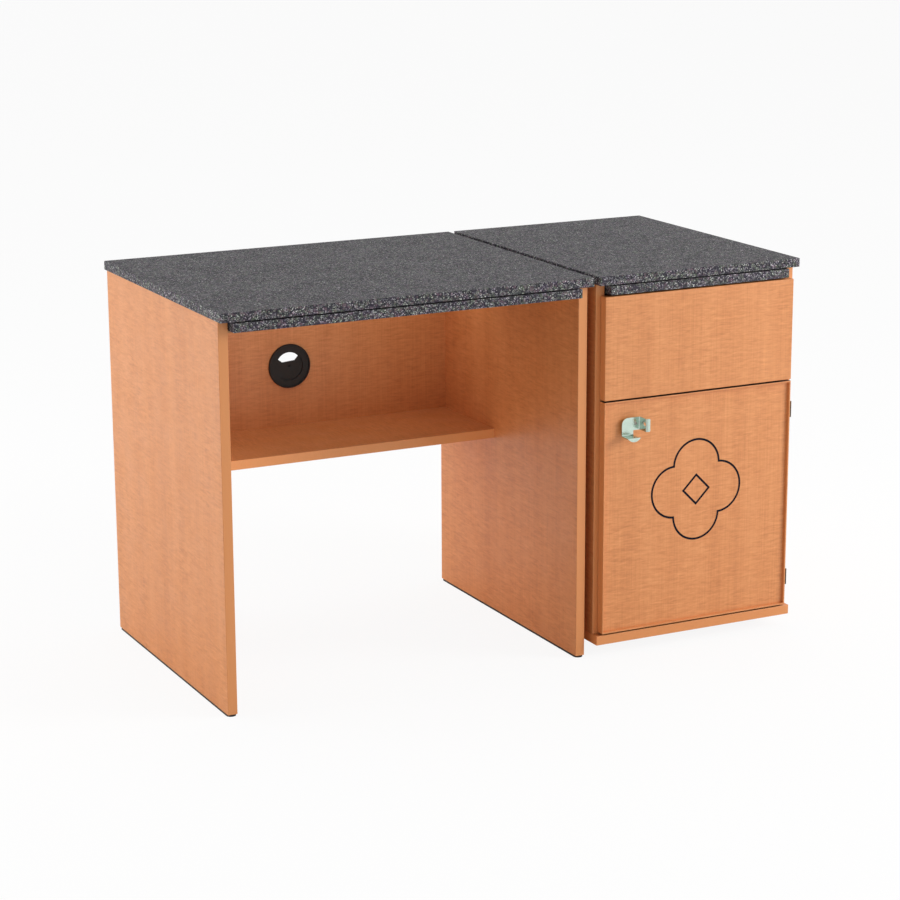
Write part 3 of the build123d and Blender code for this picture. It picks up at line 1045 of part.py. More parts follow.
with BuildPart() as hinge_door_leaves:
    for middle in HINGE_MIDDLES:
        low = middle - HINGE_HEIGHT / 2
        with BuildSketch(Plane.XY.offset(low + KNUCKLE)):
            with Locations((HINGE_X, HINGE_Y)):
                Circle(HINGE_RADIUS)
            with Locations(((FRONT_RIGHT + HINGE_X) / 2, HINGE_Y - HINGE_RADIUS + HINGE_LEAF / 2)):
                Rectangle(HINGE_X - FRONT_RIGHT + HINGE_LEAF, HINGE_LEAF)
            with Locations((HINGE_X, HINGE_Y)):
                Circle(HINGE_PIN_RADIUS + CLEARANCE, mode=Mode.SUBTRACT)
        extrude(amount=KNUCKLE)
        block((FRONT_RIGHT - HINGE_LEAF, FRONT_RIGHT), (HINGE_Y - HINGE_RADIUS, FACE_BACK),
              (low, low + HINGE_HEIGHT))
    screw_holes(DOOR_HINGE_SCREWS, HINGE_LEAF, HINGE_SCREW[1], HINGE_SCREW[2])
save(hinge_door_leaves, "hinge_door_leaves")

with BuildPart() as hinge_pins:
    with Locations(*[(HINGE_X, HINGE_Y, z) for z in HINGE_MIDDLES]):
        Cylinder(HINGE_PIN_RADIUS, HINGE_HEIGHT)
save(hinge_pins, "hinge_pins")

with BuildPart() as hinge_frame_screws:
    screws(FRAME_SCREWS, HINGE_SCREW[0], HINGE_SCREW[1], HINGE_SCREW[2])
save(hinge_frame_screws, "hinge_frame_screws")

with BuildPart() as hinge_door_screws:
    screws(DOOR_HINGE_SCREWS, HINGE_SCREW[0], HINGE_SCREW[1], HINGE_SCREW[2])
save(hinge_door_screws, "hinge_door_screws")
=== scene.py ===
import math

import bmesh
import bpy
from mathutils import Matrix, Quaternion, Vector


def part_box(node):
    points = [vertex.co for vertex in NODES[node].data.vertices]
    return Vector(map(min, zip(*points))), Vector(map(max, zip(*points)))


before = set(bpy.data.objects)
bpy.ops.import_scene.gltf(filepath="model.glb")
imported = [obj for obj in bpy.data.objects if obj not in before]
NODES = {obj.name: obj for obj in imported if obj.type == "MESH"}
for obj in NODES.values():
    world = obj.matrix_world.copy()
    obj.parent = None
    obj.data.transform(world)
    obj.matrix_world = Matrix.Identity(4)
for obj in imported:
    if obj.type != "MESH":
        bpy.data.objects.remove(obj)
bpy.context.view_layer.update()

# Looks for a kneehole desk and a cupboard pedestal. Metres, +X right, +Y back, +Z up.
MM = 0.001

# ------------------------------------------------------------------ camera
CAMERA_AZIMUTH = -26.63
CAMERA_ELEVATION = 14.17
CAMERA_ROLL = -0.24
CAMERA_DISTANCE = 5.077
CAMERA_LENS = 101.2
AIM_ABOVE_FLOOR = 0.378
AIM_LEFT_OF_MIDDLE = 0.0128
CLIP_NEAR = 0.1
CLIP_FAR = 60.0

# ------------------------------------------------------------------ colours, linear
LAMINATE = (0.745, 0.290, 0.097)
LAMINATE_DARK = (0.60, 0.210, 0.063)
LAMINATE_LIGHT = (0.86, 0.365, 0.138)
EDGE_BAND = (0.81, 0.320, 0.106)
# painted light: paler than EDGE_BAND so that the shelf's front edge looks more brightly lit
SHELF_EDGE_PAINTED_LIGHT = (0.98, 0.440, 0.160)
# painted shade: near-black for the edges seen through the gaps round the door and the drawer
GAP_SHADE_BAND = (0.020, 0.009, 0.004)
FLECK_DARK = (0.018, 0.017, 0.021)
FLECK_GROUND = (0.050, 0.047, 0.058)
FLECK_GREEN = (0.100, 0.112, 0.088)
FLECK_RED = (0.115, 0.080, 0.092)
FLECK_GREY = (0.19, 0.19, 0.205)
FLECK_PALE = (0.62, 0.62, 0.60)
TINT_PURPLE = (1.10, 0.97, 1.14)
TINT_GREEN = (0.95, 1.06, 0.93)
PLASTIC = (0.020, 0.019, 0.018)
PLASTIC_RUBBED = (0.044, 0.042, 0.040)
PULL_METAL = (0.60, 0.73, 0.64)
PULL_DULL = (0.50, 0.62, 0.54)
BRONZE = (0.050, 0.036, 0.023)
BRONZE_RUBBED = (0.14, 0.09, 0.045)
INLAY = (0.003, 0.005, 0.011)
INLAY_PALE = (0.005, 0.008, 0.018)
BEECH = (0.60, 0.38, 0.19)
BEECH_DARK = (0.48, 0.28, 0.13)
PLY_FACE = (0.66, 0.48, 0.28)
PLY_FACE_DARK = (0.56, 0.38, 0.20)
PLY_CORE = (0.36, 0.21, 0.10)
ZINC = (0.56, 0.57, 0.58)
ZINC_WARM = (0.60, 0.56, 0.46)
FERRITE = (0.035, 0.035, 0.038)
FERRITE_PALE = (0.07, 0.07, 0.075)
FLOOR = (0.86, 0.86, 0.86)
FLOOR_DULL = (0.84, 0.84, 0.84)


# ------------------------------------------------------------------ writing materials
MIX_A, MIX_B, MIX_OUT = 6, 7, 2  # the sockets of a Mix node that carry colours
NOISE_LOW, NOISE_HIGH = 0.3, 0.7  # nearly all of a noise lies between these
NOISE_MIDDLE = 0.5
EDGE_FACING, BROAD_FACING = 0.5, 0.8  # how squarely a face looks along the thickness of its board
IN_PLACE = (0.0, 0.0, 0.0)


def along(grain, length, across):
    """A cell with one length along the grain axis and another across it."""
    return tuple(length if name == grain else across for name in "xyz")


def shifted(step, seed):
    """Where the pattern of one board starts, so that no two boards look alike."""
    return tuple(seed * part for part in step)


class Graph:
    """Writes the nodes of one material or world, with short calls for what they share."""

    def __init__(self, owner, shader="Principled BSDF"):
        owner.use_nodes = True
        self.owner = owner
        self.tree = owner.node_tree
        self.shader = self.tree.nodes[shader]
        self.where = self.node("ShaderNodeTexCoord")

    def node(self, kind, **settings):
        made = self.tree.nodes.new(kind)
        for key, value in settings.items():
            setattr(made, key, value)
        return made

    def feed(self, socket, value):
        """Links a socket, or sets a plain value."""
        if isinstance(value, bpy.types.NodeSocket):
            self.tree.links.new(value, socket)
        elif isinstance(value, tuple) and len(value) == 3 and len(socket.default_value) == 4:
            socket.default_value = (*value, 1.0)
        else:
            socket.default_value = value

    def math(self, operation, a, b=0.0, clamp=False):
        made = self.node("ShaderNodeMath", operation=operation, use_clamp=clamp)
        self.feed(made.inputs[0], a)
        self.feed(made.inputs[1], b)
        return made.outputs[0]

    def vector(self, operation, a, b):
        made = self.node("ShaderNodeVectorMath", operation=operation)
        self.feed(made.inputs[0], a)
        self.feed(made.inputs[1], b)
        return made.outputs["Value"] if operation == "DOT_PRODUCT" else made.outputs["Vector"]

    def mix(self, factor, a, b, blend="MIX"):
        """Colour a where factor is 0 and b where it is 1."""
        made = self.node("ShaderNodeMix", data_type="RGBA", blend_type=blend, clamp_factor=True)
        self.feed(made.inputs[0], factor)
        self.feed(made.inputs[MIX_A], a)
        self.feed(made.inputs[MIX_B], b)
        return made.outputs[MIX_OUT]

    def span(self, value, low, high, to_low=0.0, to_high=1.0, kind="LINEAR"):
        """Moves value from the range low to high onto to_low to to_high, clamped."""
        made = self.node("ShaderNodeMapRange", interpolation_type=kind)
        for socket, number in zip(made.inputs, (value, low, high, to_low, to_high)):
            self.feed(socket, number)
        return made.outputs[0]

    def spread(self, noise, to_low=0.0, to_high=1.0):
        """Moves a noise's usual range onto to_low to to_high."""
        return self.span(noise, NOISE_LOW, NOISE_HIGH, to_low, to_high)

    def swing(self, noise, weight):
        """How far a noise is from its middle, times weight."""
        return self.math("MULTIPLY", self.math("SUBTRACT", noise, NOISE_MIDDLE), weight)

    def grey(self, value):
        """A colour whose three parts are all value."""
        made = self.node("ShaderNodeCombineColor")
        for socket in made.inputs:
            self.feed(socket, value)
        return made.outputs[0]

    def noise(self, coords, detail=2.0, roughness=0.5, distortion=0.0):
        made = self.node("ShaderNodeTexNoise")
        self.feed(made.inputs["Vector"], coords)
        made.inputs["Scale"].default_value = 1.0
        made.inputs["Detail"].default_value = detail
        made.inputs["Roughness"].default_value = roughness
        made.inputs["Distortion"].default_value = distortion
        return made.outputs["Fac"]

    def spots(self, size, offset=IN_PLACE, **settings):
        """Noise whose marks have one size in every direction."""
        return self.noise(self.coords((size, size, size), offset), **settings)

    def streaks(self, grain, length, across, offset=IN_PLACE, **settings):
        """Noise whose marks have one size along the grain axis and another across it."""
        return self.noise(self.coords(along(grain, length, across), offset), **settings)

    def cells(self, coords):
        """Two random values for each cell, and the distance from the cell's middle."""
        made = self.node("ShaderNodeTexVoronoi")
        self.feed(made.inputs["Vector"], coords)
        made.inputs["Scale"].default_value = 1.0
        parts = self.node("ShaderNodeSeparateColor")
        self.feed(parts.inputs[0], made.outputs["Color"])
        return parts.outputs[0], parts.outputs[1], made.outputs["Distance"]

    def bump(self, height, distance, strength=1.0):
        made = self.node("ShaderNodeBump")
        self.feed(made.inputs["Height"], height)
        made.inputs["Distance"].default_value = distance
        made.inputs["Strength"].default_value = strength
        self.feed(self.shader.inputs["Normal"], made.outputs["Normal"])

    def finish(self, colour, roughness, metallic=0.0, specular=0.5):
        self.feed(self.shader.inputs["Base Color"], colour)
        self.feed(self.shader.inputs["Roughness"], roughness)
        self.feed(self.shader.inputs["Metallic"], metallic)
        self.feed(self.shader.inputs["Specular IOR Level"], specular)
        return self.owner

    def coords(self, cell, offset=IN_PLACE):
        """Object coordinates in which one unit along each axis is the given length in metres."""
        moved = self.vector("ADD", self.where.outputs["Object"], offset)
        return self.vector("DIVIDE", moved, cell)

    def edge_on(self, thickness_axis):
        """1 on the faces at a board's edges, 0 on its two broad faces."""
        axis = tuple(1.0 if name == thickness_axis else 0.0 for name in "xyz")
        facing = self.math("ABSOLUTE", self.vector("DOT_PRODUCT", self.where.outputs["Normal"], axis))
        return self.span(facing, EDGE_FACING, BROAD_FACING, 1.0, 0.0)


# ------------------------------------------------------------------ materials
LAMINATE_STEP = (1.37, 2.11, 0.73)
RIPPLE_WEIGHT = 1.15
LINE_WEIGHT = 0.65
WEAVE_WEIGHT = 0.60
PORE_WEIGHT = 0.30
BAND_FADE = (0.4 * MM, 0.2 * MM)  # depths under a board's end between which its band changes


def end_mask(g, node):
    """1 at the highest and the lowest faces of a node, 0 between them."""
    heights = [corner.co.z for corner in NODES[node].data.vertices]
    middle, reach = (max(heights) + min(heights)) / 2, (max(heights) - min(heights)) / 2
    place = g.node("ShaderNodeSeparateXYZ")
    g.feed(place.inputs[0], g.where.outputs["Object"])
    from_middle = g.math("ABSOLUTE", g.math("SUBTRACT", place.outputs["Z"], middle))
    return g.span(from_middle, reach - BAND_FADE[0], reach - BAND_FADE[1])


def laminate(node, grain, thickness_axis, seed, edge_band, end_band):
    """Figured reddish laminate: soft bands and fine lines along the grain, ripples across it.
    end_band colours the highest and lowest faces among a board's edges, and edge_band the others."""
    g = Graph(bpy.data.materials.new(f"laminate_{node}"))
    offset = shifted(LAMINATE_STEP, seed)
    bands = g.streaks(grain, 1900 * MM, 55 * MM, offset, detail=3.0, distortion=0.3)
    lines = g.streaks(grain, 160 * MM, 2.6 * MM, offset, roughness=0.6)
    ripple = g.streaks(grain, 4.4 * MM, 30 * MM, offset, detail=1.0, distortion=0.5)
    weave = g.streaks(grain, 2.2 * MM, 11 * MM, offset, detail=1.0)
    pores = g.streaks(grain, 14 * MM, 1.1 * MM, offset, detail=1.0)
    patches = g.span(g.spots(100 * MM, offset), 0.35, 0.65, 0.5, 1.0)
    ripples = g.math("MULTIPLY", g.swing(ripple, patches), RIPPLE_WEIGHT)
    tone = g.math("ADD", g.spread(bands, 0.36, 0.64), ripples)
    tone = g.math("ADD", tone, g.swing(lines, LINE_WEIGHT))
    tone = g.math("ADD", tone, g.swing(weave, WEAVE_WEIGHT), clamp=True)
    face = g.mix(g.span(tone, 0.0, 0.5), LAMINATE_DARK, LAMINATE)
    face = g.mix(g.span(tone, 0.5, 1.0), face, LAMINATE_LIGHT)
    face = g.mix(g.span(pores, 0.62, 0.74, 0.0, PORE_WEIGHT), face, LAMINATE_DARK)
    grit = g.spots(2.5 * MM, offset)
    band = g.mix(end_mask(g, node), edge_band, end_band)
    band = g.mix(g.spread(grit, 0.0, 0.16), band, g.mix(0.5, band, LAMINATE_DARK))
    height = g.math("ADD", g.math("MULTIPLY", lines, 0.6), g.math("MULTIPLY", ripple, 0.4))
    g.bump(height, 0.05 * MM, 0.5)
    smudge = g.spots(70 * MM, offset, detail=3.0)
    roughness = g.math("ADD", g.spread(smudge, 0.34, 0.44), g.math("MULTIPLY", lines, 0.06))
    return g.finish(g.mix(g.edge_on(thickness_axis), face, band), roughness, specular=0.6)


SPECKLED_STEP = (0.91, 1.73, 0.57)
# cell size, share of the cells left empty, colour, strength; each layer covers the ones before it
FLECKS = (
    (6.2 * MM, 0.50, FLECK_GREEN, 0.9),
    (5.5 * MM, 0.55, FLECK_RED, 0.9),
    (3.0 * MM, 0.66, FLECK_GREY, 0.9),
    (2.4 * MM, 0.88, FLECK_PALE, 0.85),
    (1.8 * MM, 0.86, FLECK_PALE, 0.75),
)
FLECK_SHIFT = 0.31  # from one layer's pattern to the next
FLECK_CUT = 0.02  # range of the random value over which a cell fills up
FLECK_RIM = (0.55, 0.75)  # distances from a cell's middle between which a fleck fades
FLECK_WEAKEST = 0.55  # share of its strength that the weakest fleck of a layer has
WOBBLE_SIZE = 0.8  # cells
WOBBLE_REACH = 0.4
EDGE_PAINTED_LIGHT = 1.35  # painted light: how much paler the strip along the edges is than the broad faces


def flecks(g, colour, offset):
    """Lays the flecks over a ground colour."""
    for number, (size, empty, tint, strength) in enumerate(FLECKS, 1):
        shift = tuple(part + FLECK_SHIFT * number for part in offset)
        wobble = g.spots(size * WOBBLE_SIZE, shift, detail=1.0)
        chance, shade, distance = g.cells(g.coords((size, size, size), shift))
        ragged = g.math("ADD", distance, g.math("MULTIPLY", wobble, WOBBLE_REACH))
        filled = g.span(chance, empty, empty + FLECK_CUT)
        inside = g.math("MULTIPLY", filled, g.span(ragged, *FLECK_RIM, 1.0, 0.0))
        amount = g.math("MULTIPLY", inside, g.span(shade, 0.0, 1.0, strength * FLECK_WEAKEST, strength))
        colour = g.mix(amount, colour, tint)
    return colour


def speckled(name, seed):
    """Dark stone-look laminate: pale, grey, green and red flecks of 2 to 6 mm on a mottled dark ground."""
    g = Graph(bpy.data.materials.new(name))
    offset = shifted(SPECKLED_STEP, seed)
    ground = g.spots(5 * MM, offset, detail=3.0, roughness=0.7)
    colour = flecks(g, g.mix(g.spread(ground), FLECK_DARK, FLECK_GROUND), offset)
    cloud = g.spots(10 * MM, offset)
    tint = g.mix(g.span(cloud, 0.32, 0.68), TINT_PURPLE, TINT_GREEN)
    light = g.spread(g.spots(8 * MM, offset[::-1], detail=1.0), 0.82, 1.18)
    # painted light: the edges of the tops are made paler than their broad faces
    light = g.math("MULTIPLY", light, g.span(g.edge_on("z"), 0.0, 1.0, 1.0, EDGE_PAINTED_LIGHT))
    colour = g.mix(1.0, g.mix(1.0, colour, tint, "MULTIPLY"), g.grey(light), "MULTIPLY")
    g.bump(g.spots(1 * MM, offset), 0.06 * MM, 0.5)
    sheen = g.spots(50 * MM, offset)
    return g.finish(colour, g.spread(sheen, 0.50, 0.60), specular=0.12)


def moulded_plastic(name):
    """Black moulded plastic with a fine spark-eroded grain and faint rub marks."""
    g = Graph(bpy.data.materials.new(name))
    rub = g.spots(14 * MM, detail=3.0)
    g.bump(g.spots(0.5 * MM), 0.04 * MM, 0.6)
    colour = g.mix(g.span(rub, 0.45, 0.8, 0.0, 0.5), PLASTIC, PLASTIC_RUBBED)
    return g.finish(colour, g.spread(rub, 0.42, 0.58), specular=0.4)


def pull_metal(name):
    """Pale green-tinted plated sheet: smooth and mirror-like, with faint drawn lines and dull clouds."""
    g = Graph(bpy.data.materials.new(name))
    drawn = g.streaks("z", 12 * MM, 0.8 * MM)
    cloud = g.spots(12 * MM)
    g.bump(drawn, 0.01 * MM, 0.3)
    colour = g.mix(g.span(cloud, 0.4, 0.7, 0.0, 0.5), PULL_METAL, PULL_DULL)
    return g.finish(colour, g.span(drawn, 0.2, 0.8, 0.16, 0.24), metallic=1.0)


def bronzed(name):
    """Dark bronzed steel, rubbed to a warmer tone in places."""
    g = Graph(bpy.data.materials.new(name))
    mottle = g.spots(4 * MM, detail=4.0)
    g.bump(g.spots(0.5 * MM, detail=1.0), 0.02 * MM, 0.5)
    colour = g.mix(g.span(mottle, 0.45, 0.75), BRONZE, BRONZE_RUBBED)
    return g.finish(colour, g.spread(mottle, 0.34, 0.5), metallic=0.8)


def inlay(name):
    """Near-black blue line inlay with faint clouds."""
    g = Graph(bpy.data.materials.new(name))
    clouds = g.spots(6 * MM, detail=3.0)
    g.bump(g.spots(0.6 * MM, detail=1.0), 0.02 * MM, 0.4)
    colour = g.mix(g.spread(clouds), INLAY, INLAY_PALE)
    return g.finish(colour, g.spread(clouds, 0.5, 0.6), specular=0.1)


def beech(name, grain):
    """Planed beech: short darker flecks on a pinkish ground."""
    g = Graph(bpy.data.materials.new(name))
    rays = g.streaks(grain, 6 * MM, 0.7 * MM, detail=1.0)
    rings = g.streaks(grain, 500 * MM, 6 * MM, detail=3.0, distortion=0.4)
    colour = g.mix(g.spread(rings), BEECH, BEECH_DARK)
    colour = g.mix(g.span(rays, 0.62, 0.70, 0.0, 0.6), colour, BEECH_DARK)
    g.bump(rings, 0.08 * MM, 0.5)
    return g.finish(colour, g.spread(rings, 0.5, 0.62), specular=0.35)


def plywood(name, grain, thickness_axis):
    """Lacquered birch plywood: long soft figure on its faces and stacked plies on its edges."""
    g = Graph(bpy.data.materials.new(name))
    figure = g.streaks(grain, 600 * MM, 22 * MM, detail=4.0, distortion=0.9)
    lines = g.streaks(grain, 90 * MM, 1.4 * MM)
    tone = g.math("ADD", g.math("MULTIPLY", figure, 0.7), g.math("MULTIPLY", lines, 0.3))
    face = g.mix(g.span(tone, 0.35, 0.65), PLY_FACE, PLY_FACE_DARK)
    depth = g.node("ShaderNodeSeparateXYZ")
    g.feed(depth.inputs[0], g.coords((PLY_PAIR, PLY_PAIR, PLY_PAIR)))
    turn = g.math("FRACT", depth.outputs["xyz".index(thickness_axis)])
    layers = g.mix(g.span(turn, 0.46, 0.54), PLY_FACE, PLY_CORE)
    layers = g.mix(g.span(lines, 0.4, 0.7, 0.0, 0.35), layers, PLY_CORE)
    g.bump(lines, 0.05 * MM, 0.5)
    return g.finish(g.mix(g.edge_on(thickness_axis), face, layers), g.spread(lines, 0.36, 0.48))


def zinc(name):
    """Zinc-plated steel: drawn lines, a faint warm and cool bloom, dull spots."""
    g = Graph(bpy.data.materials.new(name))
    drawn = g.streaks("y", 20 * MM, 0.5 * MM)
    bloom = g.spots(18 * MM, detail=3.0)
    colour = g.mix(g.span(bloom, 0.35, 0.65), ZINC, ZINC_WARM)
    g.bump(drawn, 0.02 * MM, 0.5)
    return g.finish(colour, g.spread(drawn, 0.24, 0.40), metallic=1.0)


def ferrite(name):
    """Sintered magnet: matt dark grey with a fine grit."""
    g = Graph(bpy.data.materials.new(name))
    grit = g.spots(0.7 * MM)
    g.bump(grit, 0.05 * MM, 0.7)
    return g.finish(g.mix(g.spread(grit), FERRITE, FERRITE_PALE), 0.6)


# ------------------------------------------------------------------ which node gets which
# node: grain axis, thickness axis; a board's seed is its place in this list
BOARDS = {
    "desk_left_panel": ("z", "x"),
    "desk_right_panel": ("z", "x"),
    "desk_back_panel": ("z", "y"),
    "desk_shelf": ("x", "z"),
    "pedestal_left_panel": ("z", "x"),
    "pedestal_right_panel": ("z", "x"),
    "pedestal_back_panel": ("z", "y"),
    "pedestal_base_board": ("x", "z"),
    "pedestal_divider": ("x", "z"),
    "pedestal_shelf": ("x", "z"),
    "drawer_front": ("z", "y"),
    "door_panel": ("z", "y"),
    "door_lipping": ("z", "y"),
}
# boards with other edges than EDGE_BAND: edges, highest and lowest edges. The shelf's pale band is painted
# light; the near-black bands are painted shade in the gaps round the door and the drawer
BANDS = {
    "desk_shelf": (SHELF_EDGE_PAINTED_LIGHT, SHELF_EDGE_PAINTED_LIGHT),
    "pedestal_divider": (GAP_SHADE_BAND, GAP_SHADE_BAND),
    "door_lipping": (EDGE_BAND, GAP_SHADE_BAND),
}
PLY_PAIR = 2.6 * MM  # one pale ply and one dark ply
PLY_BOARDS = {
    "drawer_left_side": ("y", "x"),
    "drawer_right_side": ("y", "x"),
    "drawer_inner_front": ("x", "y"),
    "drawer_back": ("x", "y"),
    "drawer_bottom": ("y", "z"),
}
SPECKLED = ("desk_top", "pedestal_top", "desk_leaf", "pedestal_leaf")
ROUND_WOOD = ("desk_dowels", "pedestal_dowels", "desk_leaf_stops", "pedestal_leaf_stops")
RUNNERS = ("desk_leaf_runners", "pedestal_leaf_runners")
PLASTICS = ("grommet_ring", "grommet_cap", "desk_panel_glides", "pedestal_foot_pads", "gang_spacers",
            "catch_body")
BRONZED = ("hinge_frame_leaves", "hinge_door_leaves", "hinge_pins", "hinge_frame_screws",
           "hinge_door_screws")


def dress(node, material):
    """Puts one material in every material slot of a CAD node."""
    slots = NODES[node].material_slots
    if not slots:
        NODES[node].data.materials.append(material)
    for held in slots:
        held.material = material


def dress_all():
    """Gives every node its material, and zinc to the nodes that no list names."""
    dressed = set()
    jobs = []
    for seed, (node, (grain, thickness)) in enumerate(BOARDS.items(), 1):
        bands = BANDS.get(node, (EDGE_BAND, EDGE_BAND))
        jobs.append((node, laminate(node, grain, thickness, seed, *bands)))
    for node, (grain, thickness) in PLY_BOARDS.items():
        jobs.append((node, plywood(f"plywood_{node}", grain, thickness)))
    for seed, node in enumerate(SPECKLED, 1):
        jobs.append((node, speckled(f"speckled_{node}", seed)))
    upright_beech, level_beech = beech("beech_upright", "z"), beech("beech_level", "y")
    plastic, bronze, plated = moulded_plastic("plastic_black"), bronzed("bronze_dark"), zinc("zinc_plate")
    jobs += [(node, upright_beech) for node in ROUND_WOOD]
    jobs += [(node, level_beech) for node in RUNNERS]
    jobs += [(node, plastic) for node in PLASTICS]
    jobs += [(node, bronze) for node in BRONZED]
    jobs += [("lock_pull", pull_metal("pull_metal_pale")), ("door_emblem", inlay("inlay_dark")),
             ("catch_magnet", ferrite("ferrite_grey"))]
    for node, material in jobs:
        dress(node, material)
        dressed.add(node)
    for node in sorted(set(NODES) - dressed):
        dress(node, plated)


dress_all()


# ------------------------------------------------------------------ floor and light
FLOOR_RADIUS = 6.5
INNER_RINGS = (1.2, 3.0)
RIM_RADIUS = 2.0
WALL_HEIGHT = 3.0
RIM_STEPS = 16
AROUND = 96
FLOOR_CLOUD = 0.9
FLOOR_SUNK = 0.5 * MM
BACKDROP_GLOW = 0.90
BACKDROP_COLOUR = (0.10, 0.10, 0.10)


def floor_material():
    """Matt pale floor with faint clouds."""
    g = Graph(bpy.data.materials.new("stage_floor"))
    cloud = g.spots(FLOOR_CLOUD)
    return g.finish(g.mix(g.spread(cloud), FLOOR, FLOOR_DULL), 0.85, specular=0.1)


def backdrop_material():
    """White that glows a little, so the shadows on it stay faint."""
    g = Graph(bpy.data.materials.new("stage_backdrop"))
    g.feed(g.shader.inputs["Emission Color"], (1.0, 1.0, 1.0))
    g.feed(g.shader.inputs["Emission Strength"], BACKDROP_GLOW)
    return g.finish(BACKDROP_COLOUR, 1.0, specular=0.0)


def stand(name, bm, material):
    """Puts a finished mesh on the stage."""
    mesh = bpy.data.meshes.new(name)
    bm.to_mesh(mesh)
    bm.free()
    mesh.polygons.foreach_set("use_smooth", [True] * len(mesh.polygons))
    mesh.materials.append(material)
    made = bpy.data.objects.new(name, mesh)
    bpy.context.scene.collection.objects.link(made)
    return made


def make_backdrop():
    """A white dish round everything, seen by the camera alone: a floor that sweeps up into a wall."""
    profile = [(radius, 0.0) for radius in (*INNER_RINGS, FLOOR_RADIUS)]
    for step in range(1, RIM_STEPS + 1):
        turn = math.pi / 2 * step / RIM_STEPS
        profile.append((FLOOR_RADIUS + RIM_RADIUS * math.sin(turn), RIM_RADIUS * (1 - math.cos(turn))))
    profile.append((FLOOR_RADIUS + RIM_RADIUS, RIM_RADIUS + WALL_HEIGHT))
    bm = bmesh.new()
    middle = bm.verts.new((0.0, 0.0, 0.0))
    rings = []
    for radius, height in profile:
        ring = []
        for step in range(AROUND):
            turn = 2 * math.pi * step / AROUND
            ring.append(bm.verts.new((radius * math.cos(turn), radius * math.sin(turn), height)))
        rings.append(ring)
    for step in range(AROUND):
        after = (step + 1) % AROUND
        bm.faces.new((middle, rings[0][step], rings[0][after]))
        for inner, outer in zip(rings, rings[1:]):
            bm.faces.new((inner[step], outer[step], outer[after], inner[after]))
    backdrop = stand("stage_backdrop", bm, backdrop_material())
    backdrop.visible_diffuse = False
    backdrop.visible_glossy = False
    backdrop.visible_shadow = False


def make_floor():
    """The floor that the light bounces from. The backdrop hides it from the camera."""
    bm = bmesh.new()
    bmesh.ops.create_circle(bm, cap_ends=True, segments=AROUND, radius=FLOOR_RADIUS)
    floor = stand("stage_floor", bm, floor_material())
    floor.location.z = -FLOOR_SUNK
    floor.visible_camera = False


SKY_FULL = 0.86
SKY_DIM = 0.34
DIM_SIDE = (-0.75, -0.55, 0.35)  # front left and above
DIM_FROM, DIM_TO = 0.0, 0.8  # how far towards that side the sky starts and ends to dim

BODY_MIDDLE = Vector((0.0, 0.0, 0.4))
DISK_AWAY = 4.0
DISK_WIDTH = 1.6
# disk lamps that face the middle: azimuth, elevation, energy
DISKS = {
    "lamp_right": (55, 20, 73.0),
    "lamp_left": (-100, 15, 26.0),
    "lamp_back_left": (-125, 8, 32.0),
}

# the space for the knees
KNEE_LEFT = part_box("desk_left_panel")[1][0]
KNEE_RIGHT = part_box("desk_right_panel")[0][0]
KNEE_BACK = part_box("desk_back_panel")[0][1]
KNEE_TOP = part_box("desk_leaf")[0][2]
SHELF_LAMP_IN_FRONT = 0.137
SHELF_LAMP_BELOW = 0.025
PANEL_LAMP_BESIDE = 0.032
PANEL_LAMP_Y = -0.10
PANEL_LAMP_Z = 0.42
SHELF_LAMP = Vector(((KNEE_LEFT + KNEE_RIGHT) / 2, KNEE_BACK - SHELF_LAMP_IN_FRONT,
                     KNEE_TOP - SHELF_LAMP_BELOW))
PANEL_LAMP = Vector((KNEE_LEFT + PANEL_LAMP_BESIDE, PANEL_LAMP_Y, PANEL_LAMP_Z))
# rectangular lamps in it: place, way they face, width, depth, energy
KNEE_LAMPS = {
    "lamp_over_shelf": (SHELF_LAMP, (0.0, 0.0, -1.0), 0.68, 0.20, 0.37),
    "lamp_at_panel": (PANEL_LAMP, (1.0, 0.0, 0.0), 0.50, 0.30, 0.23),
}


def direction(azimuth, elevation):
    """The unit vector at an azimuth and elevation in degrees. Azimuth 0 is the front, 90 the right."""
    turn, rise = math.radians(azimuth), math.radians(elevation)
    return Vector((math.sin(turn) * math.cos(rise), -math.cos(turn) * math.cos(rise), math.sin(rise)))


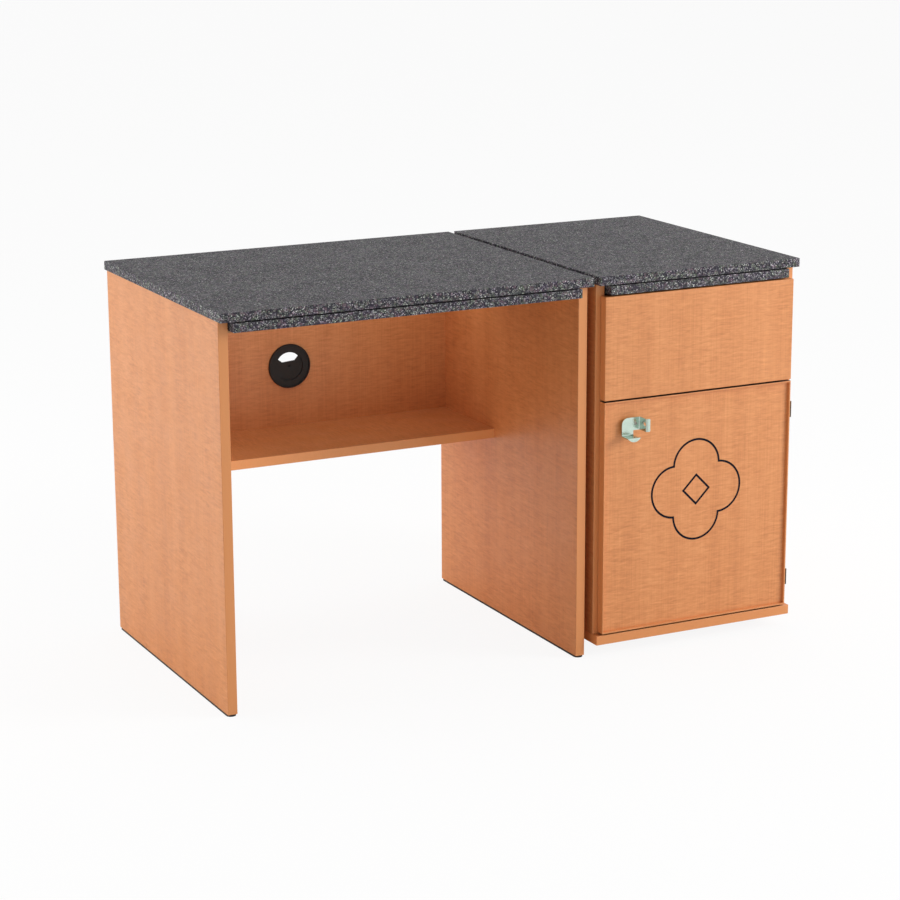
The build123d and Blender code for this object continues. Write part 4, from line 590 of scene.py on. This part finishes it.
def make_sky():
    """A white sky, dimmer on one side."""
    world = bpy.data.worlds.new("studio")
    bpy.context.scene.world = world
    g = Graph(world, "Background")
    g.feed(g.shader.inputs["Color"], (1.0, 1.0, 1.0))
    towards = g.vector("DOT_PRODUCT", g.where.outputs["Generated"], DIM_SIDE)
    g.feed(g.shader.inputs["Strength"], g.span(towards, DIM_FROM, DIM_TO, SKY_FULL, SKY_DIM, "SMOOTHSTEP"))


def make_lamp(name, place, facing, width, depth, energy):
    """A flat lamp: a disk, or a rectangle where depth is given."""
    light = bpy.data.lights.new(name, "AREA")
    light.shape = "DISK" if depth is None else "RECTANGLE"
    light.size = width
    if depth is not None:
        light.size_y = depth
    light.energy = energy
    lamp = bpy.data.objects.new(name, light)
    lamp.location = place
    lamp.rotation_mode = "QUATERNION"
    lamp.rotation_quaternion = Vector(facing).to_track_quat("-Z", "Y")
    bpy.context.scene.collection.objects.link(lamp)
    return lamp


def make_lamps():
    """Disks round the furniture, and small lamps in the space for the knees that no mirror shows."""
    for name, (azimuth, elevation, energy) in DISKS.items():
        outward = direction(azimuth, elevation)
        make_lamp(name, BODY_MIDDLE + outward * DISK_AWAY, -outward, DISK_WIDTH, None, energy)
    for name, settings in KNEE_LAMPS.items():
        lamp = make_lamp(name, *settings)
        lamp.visible_camera = False
        lamp.visible_glossy = False


def make_camera():
    """Looks at the furniture from its front left, a little above."""
    aim = Vector((-AIM_LEFT_OF_MIDDLE, 0.0, AIM_ABOVE_FLOOR))
    back = direction(CAMERA_AZIMUTH, CAMERA_ELEVATION)
    lens = bpy.data.cameras.new("camera")
    lens.lens = CAMERA_LENS
    lens.clip_start = CLIP_NEAR
    lens.clip_end = CLIP_FAR
    camera = bpy.data.objects.new("camera", lens)
    camera.location = aim + back * CAMERA_DISTANCE
    camera.rotation_mode = "QUATERNION"
    level = (-back).to_track_quat("-Z", "Y")
    camera.rotation_quaternion = Quaternion(-back, math.radians(-CAMERA_ROLL)) @ level
    bpy.context.scene.collection.objects.link(camera)
    bpy.context.scene.camera = camera


make_backdrop()
make_floor()
make_sky()
make_lamps()
make_camera()
bpy.context.scene.view_settings.view_transform = "Standard"
